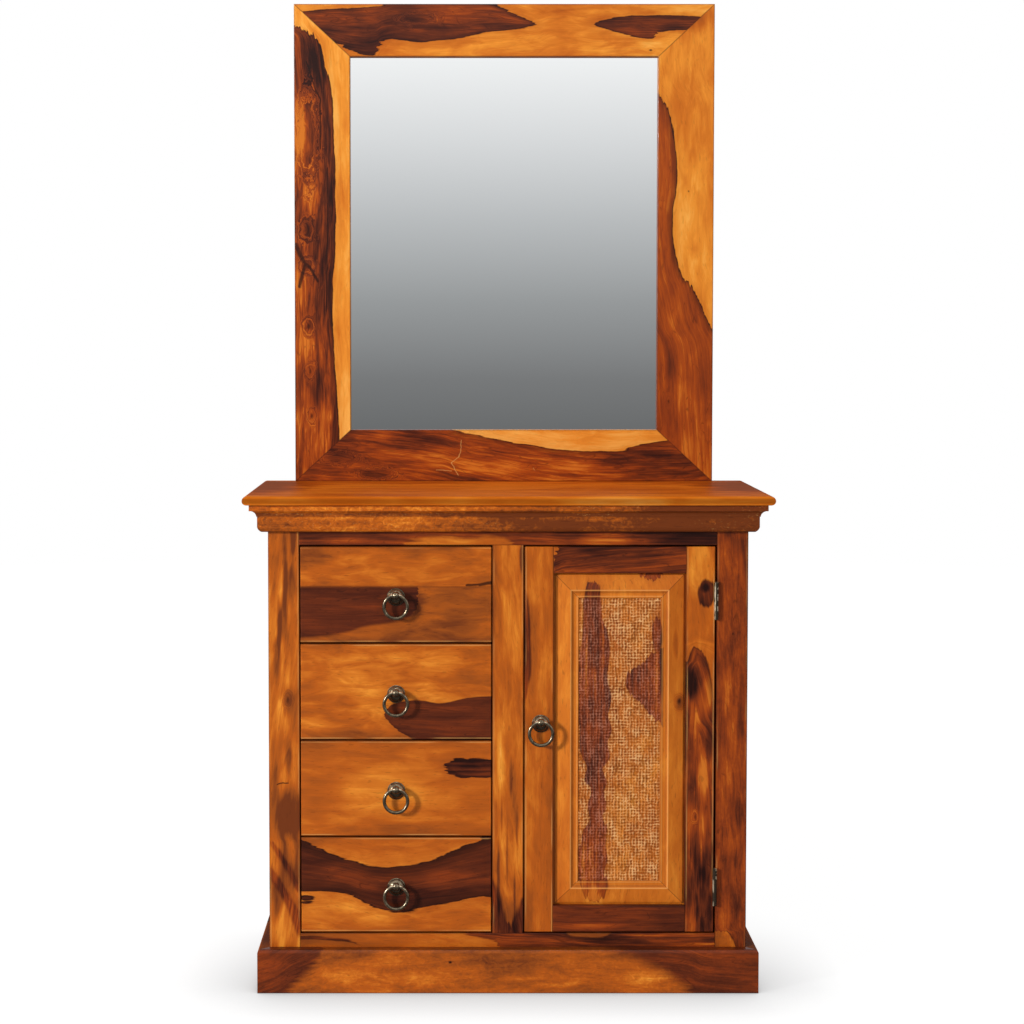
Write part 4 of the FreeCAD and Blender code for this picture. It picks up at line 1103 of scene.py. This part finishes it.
        # the field: crests painted pale in chips, partly rubbed wear and partly painted highlight, and
        # painted shade in the pits
        worn = (y * -1.0).step(-(face + shape.pit), -(face + shape.crest))
        chip = tree.grain(x * 420.0, y * 50.0, z * 420.0)
        patch = tree.grain(x * 60.0, y * 50.0, z * 45.0)
        rub = worn * worn * (chip + patch).step(0.75, 1.25, 0.12, 0.85) * (1.0 - mask * 0.45)
        field = tree.blend(rub, colour, tree.blend(mask, paint("F6C588"), paint("D8967A")))
        pit_shade = (1.0 - worn) * (chip - patch).step(-0.35, 0.2, 0.85, 0.45)
        field = tree.blend(pit_shade, field, paint("4A1B0C"))
        edge = self.PROFILE[-1][0]
        front = tree.blend(margin.step(edge - 0.2, edge + 0.2), bevel, field)
        near, far = self.BACK
        return tree.blend(y.fade(face + near, face + far), colour, front)


class DRESSER_OT_fittings(bpy.types.Operator):
    """Finish the ring pulls, hinges, screws and catch"""

    bl_idname = "dresser.fittings"
    bl_label = "Pulls, hinges and screws"

    SHADE = 1.0 * MM  # how far above its middle a pull's base is painted darker, as shade under its ring
    BRIGHT_TOP = 3.2 * MM  # how far down from its top a ring is painted bright, a highlight that also stands for wear

    def execute(self, context):
        hinges, steel, plastic = hinge_brass(), screw_steel(), catch_plastic()
        for node in NODES:
            low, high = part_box(node)
            if node.endswith("_pull_base"):
                dress(node, aged_brass("brass_" + node, 0.35, under=(low.z + high.z) / 2 + self.SHADE))
            elif node.endswith("_pull_ring"):
                dress(node, aged_brass("brass_" + node, 0.3, over=high.z - self.BRIGHT_TOP))
            elif node.startswith("hinge_"):
                dress(node, hinges)
        for node in ("carcass_screws", "door_screws", "door_strike"):
            dress(node, steel)
        dress("door_catch", plastic)
        return {"FINISHED"}


class DRESSER_OT_inside(bpy.types.Operator):
    """Finish the boards inside the case and its back"""

    bl_idname = "dresser.inside"
    bl_label = "Inside and back"

    def execute(self, context):
        dress("inner_battens", plain_timber("batten_timber", "B98750", "92643A", "deep", 120.0))
        dress("partition", plain_timber("partition_timber", "C08C55", "9C6C3C", "side", 80.0))
        dress("shelf", plain_timber("shelf_timber", "BC8850", "97683A", "flat", 80.0))
        dress("floor_panel", plain_timber("floor_timber", "BC8850", "97683A", "flat", 80.0))
        dress("back_panel", plain_timber("back_plywood", "C79F6E", "AC8152", "upright", 45.0))
        return {"FINISHED"}


class DRESSER_OT_stage(bpy.types.Operator):
    """Set the floor, the lamps, the room's light and the camera"""

    bl_idname = "dresser.stage"
    bl_label = "Stage"

    EYE, TILT, SHIFT = (-0.09, -3.731, 1.1392), -0.0495, (0.0545, -0.0702)
    TARGET = Vector((0.0, -0.17, 0.85))  # what the lamps point at
    FLOOR_GAP = 0.6 * MM  # keeps the floor clear of the plinth

    def execute(self, context):
        stage = context.scene.dresser_stage
        self.floor(context, stage)
        self.world(context, stage)
        # degrees round from the front, height and distance in metres, width, power
        self.lamp(context, "key", -54.0, 1.76, 8.0, stage.key_size, stage.key_power)
        self.lamp(context, "fill", 38.0, 1.2, 5.0, 0.5, stage.fill_power)
        self.lamp(context, "overhead", 0.0, 3.2, 0.5, 1.6, stage.top_power)
        data = bpy.data.cameras.new("camera")
        data.sensor_width, data.lens = 36.0, stage.lens
        data.shift_x, data.shift_y = self.SHIFT
        data.clip_start, data.clip_end = 0.05, 60.0
        camera = bpy.data.objects.new("camera", data)
        camera.location = self.EYE
        camera.rotation_euler = (math.pi / 2 + self.TILT, 0.0, 0.0)
        context.scene.collection.objects.link(camera)
        context.scene.camera = camera
        context.scene.view_settings.view_transform = "Standard"
        return {"FINISHED"}

    def floor(self, context, stage):
        mesh = bmesh.new()
        bmesh.ops.create_circle(mesh, cap_ends=True, segments=96, radius=7.0)
        data = bpy.data.meshes.new("floor")
        mesh.to_mesh(data)
        mesh.free()
        ground = bpy.data.objects.new("floor", data)
        ground.location = (0, 0, -self.FLOOR_GAP)
        context.scene.collection.objects.link(ground)
        material, tree = new_finish("pale_floor")
        x, y, z = tree.place()
        glossy = tree.ray("Is Glossy Ray")
        away = tree.distance(x, y).step(0.6, 6.5) * glossy
        plain = tree.blend(glossy, stage.floor_tone, paint("8A8A8C"))
        plain = tree.blend(away, plain, paint("6A6A6C"))
        plain = tree.add("ShaderNodeBsdfDiffuse", None, {"Color": plain})
        # the contact shadow stays narrow, and the open floor is as white as the background
        open_sky = tree.add("ShaderNodeAmbientOcclusion", {"samples": 16}, {"Distance": 0.17}, "AO")
        contact = tree.ramp(open_sky, [(place, (tone,) * 3) for place, tone in (
            (0.48, 0.40), (0.54, 0.57), (0.61, 0.67), (0.72, 0.74), (0.84, 0.82), (0.94, 0.90), (1.0, 1.0))])
        contact = tree.blend(y.step(-0.22, 0.25) * 0.8, contact, WHITE)
        contact = tree.blend(glossy, contact, (0.129, 0.132, 0.134))
        white = tree.add("ShaderNodeEmission", None, {"Color": contact, "Strength": 1.12})
        share = (tree.ray("Is Camera Ray") * 0.86).most(away)
        mixed = tree.add("ShaderNodeMixShader", None, {0: share, 1: plain, 2: white})
        tree.add("ShaderNodeOutputMaterial", None, {"Surface": mixed})
        data.materials.append(material)

    def world(self, context, stage):
        """White to the camera, even light on the object, and a studio wall in its mirror and lacquer."""
        world = bpy.data.worlds.new("studio")
        context.scene.world = world
        tree = Tree(world)
        x, y, z = tree.split(tree.add("ShaderNodeTexCoord", result="Generated"))
        height = (z - y.step(0.0, 0.6) * 0.10 + 0.06) / 0.2
        wall = tree.ramp(height, [
            (0.05, (0.145, 0.148, 0.150)), (0.20, (0.20, 0.203, 0.206)), (0.385, (0.33, 0.338, 0.344)),
            (0.58, (0.52, 0.53, 0.54)), (0.77, (0.735, 0.74, 0.75)), (0.96, (0.935, 0.935, 0.94))])
        wall = tree.blend(y.step(0.05, 0.5, 0.0, 0.2), wall, (0.018, 0.014, 0.011))
        mirrored = tree.ray("Is Glossy Ray").most(tree.ray("Is Transmission Ray"))
        colour = tree.blend(mirrored, (stage.air,) * 3, wall)
        colour = tree.blend(tree.ray("Is Camera Ray"), colour, WHITE)
        light = tree.add("ShaderNodeBackground", None, {"Color": colour, "Strength": 1.0})
        tree.add("ShaderNodeOutputWorld", None, {"Surface": light})

    def lamp(self, context, name, degrees, rise, reach, size, power):
        data = bpy.data.lights.new(name, "AREA")
        data.shape, data.size, data.energy = "DISK", size, power
        lamp = bpy.data.objects.new(name, data)
        turn = math.radians(degrees)
        lamp.location = self.TARGET + Vector((math.sin(turn) * reach, -math.cos(turn) * reach, rise))
        lamp.rotation_mode = "QUATERNION"
        lamp.rotation_quaternion = (self.TARGET - lamp.location).to_track_quat("-Z", "Y")
        context.scene.collection.objects.link(lamp)


PIECES = (
    DRESSER_OT_case, DRESSER_OT_top, DRESSER_OT_mirror_frame, DRESSER_OT_mirror_glass, DRESSER_OT_drawers,
    DRESSER_OT_door, DRESSER_OT_door_panel, DRESSER_OT_fittings, DRESSER_OT_inside, DRESSER_OT_stage)
SETTINGS = {"dresser_wood": DresserWood, "dresser_metal": DresserMetal, "dresser_panel": DresserPanel,
            "dresser_stage": DresserStage}


class DRESSER_PT_bench(bpy.types.Panel):
    """Lists the pieces of the dresser and their settings"""

    bl_idname = "DRESSER_PT_bench"
    bl_label = "Dresser with mirror"
    bl_space_type = "VIEW_3D"
    bl_region_type = "UI"
    bl_category = "Dresser"

    def draw(self, context):
        for piece in PIECES:
            self.layout.operator(piece.bl_idname)
        for name in SETTINGS:
            box = self.layout.box()
            group = getattr(context.scene, name)
            for setting in group.__annotations__:
                box.prop(group, setting)


def register():
    for name, group in SETTINGS.items():
        bpy.utils.register_class(group)
        setattr(bpy.types.Scene, name, PointerProperty(type=group))
    for piece in PIECES + (DRESSER_PT_bench,):
        bpy.utils.register_class(piece)


def unregister():
    for piece in (DRESSER_PT_bench,) + PIECES[::-1]:
        bpy.utils.unregister_class(piece)
    for name, group in SETTINGS.items():
        delattr(bpy.types.Scene, name)
        bpy.utils.unregister_class(group)


def main():
    register()
    for piece in PIECES:
        group, name = piece.bl_idname.split(".")
        getattr(getattr(bpy.ops, group), name)()


if __name__ == "__main__":
    main()
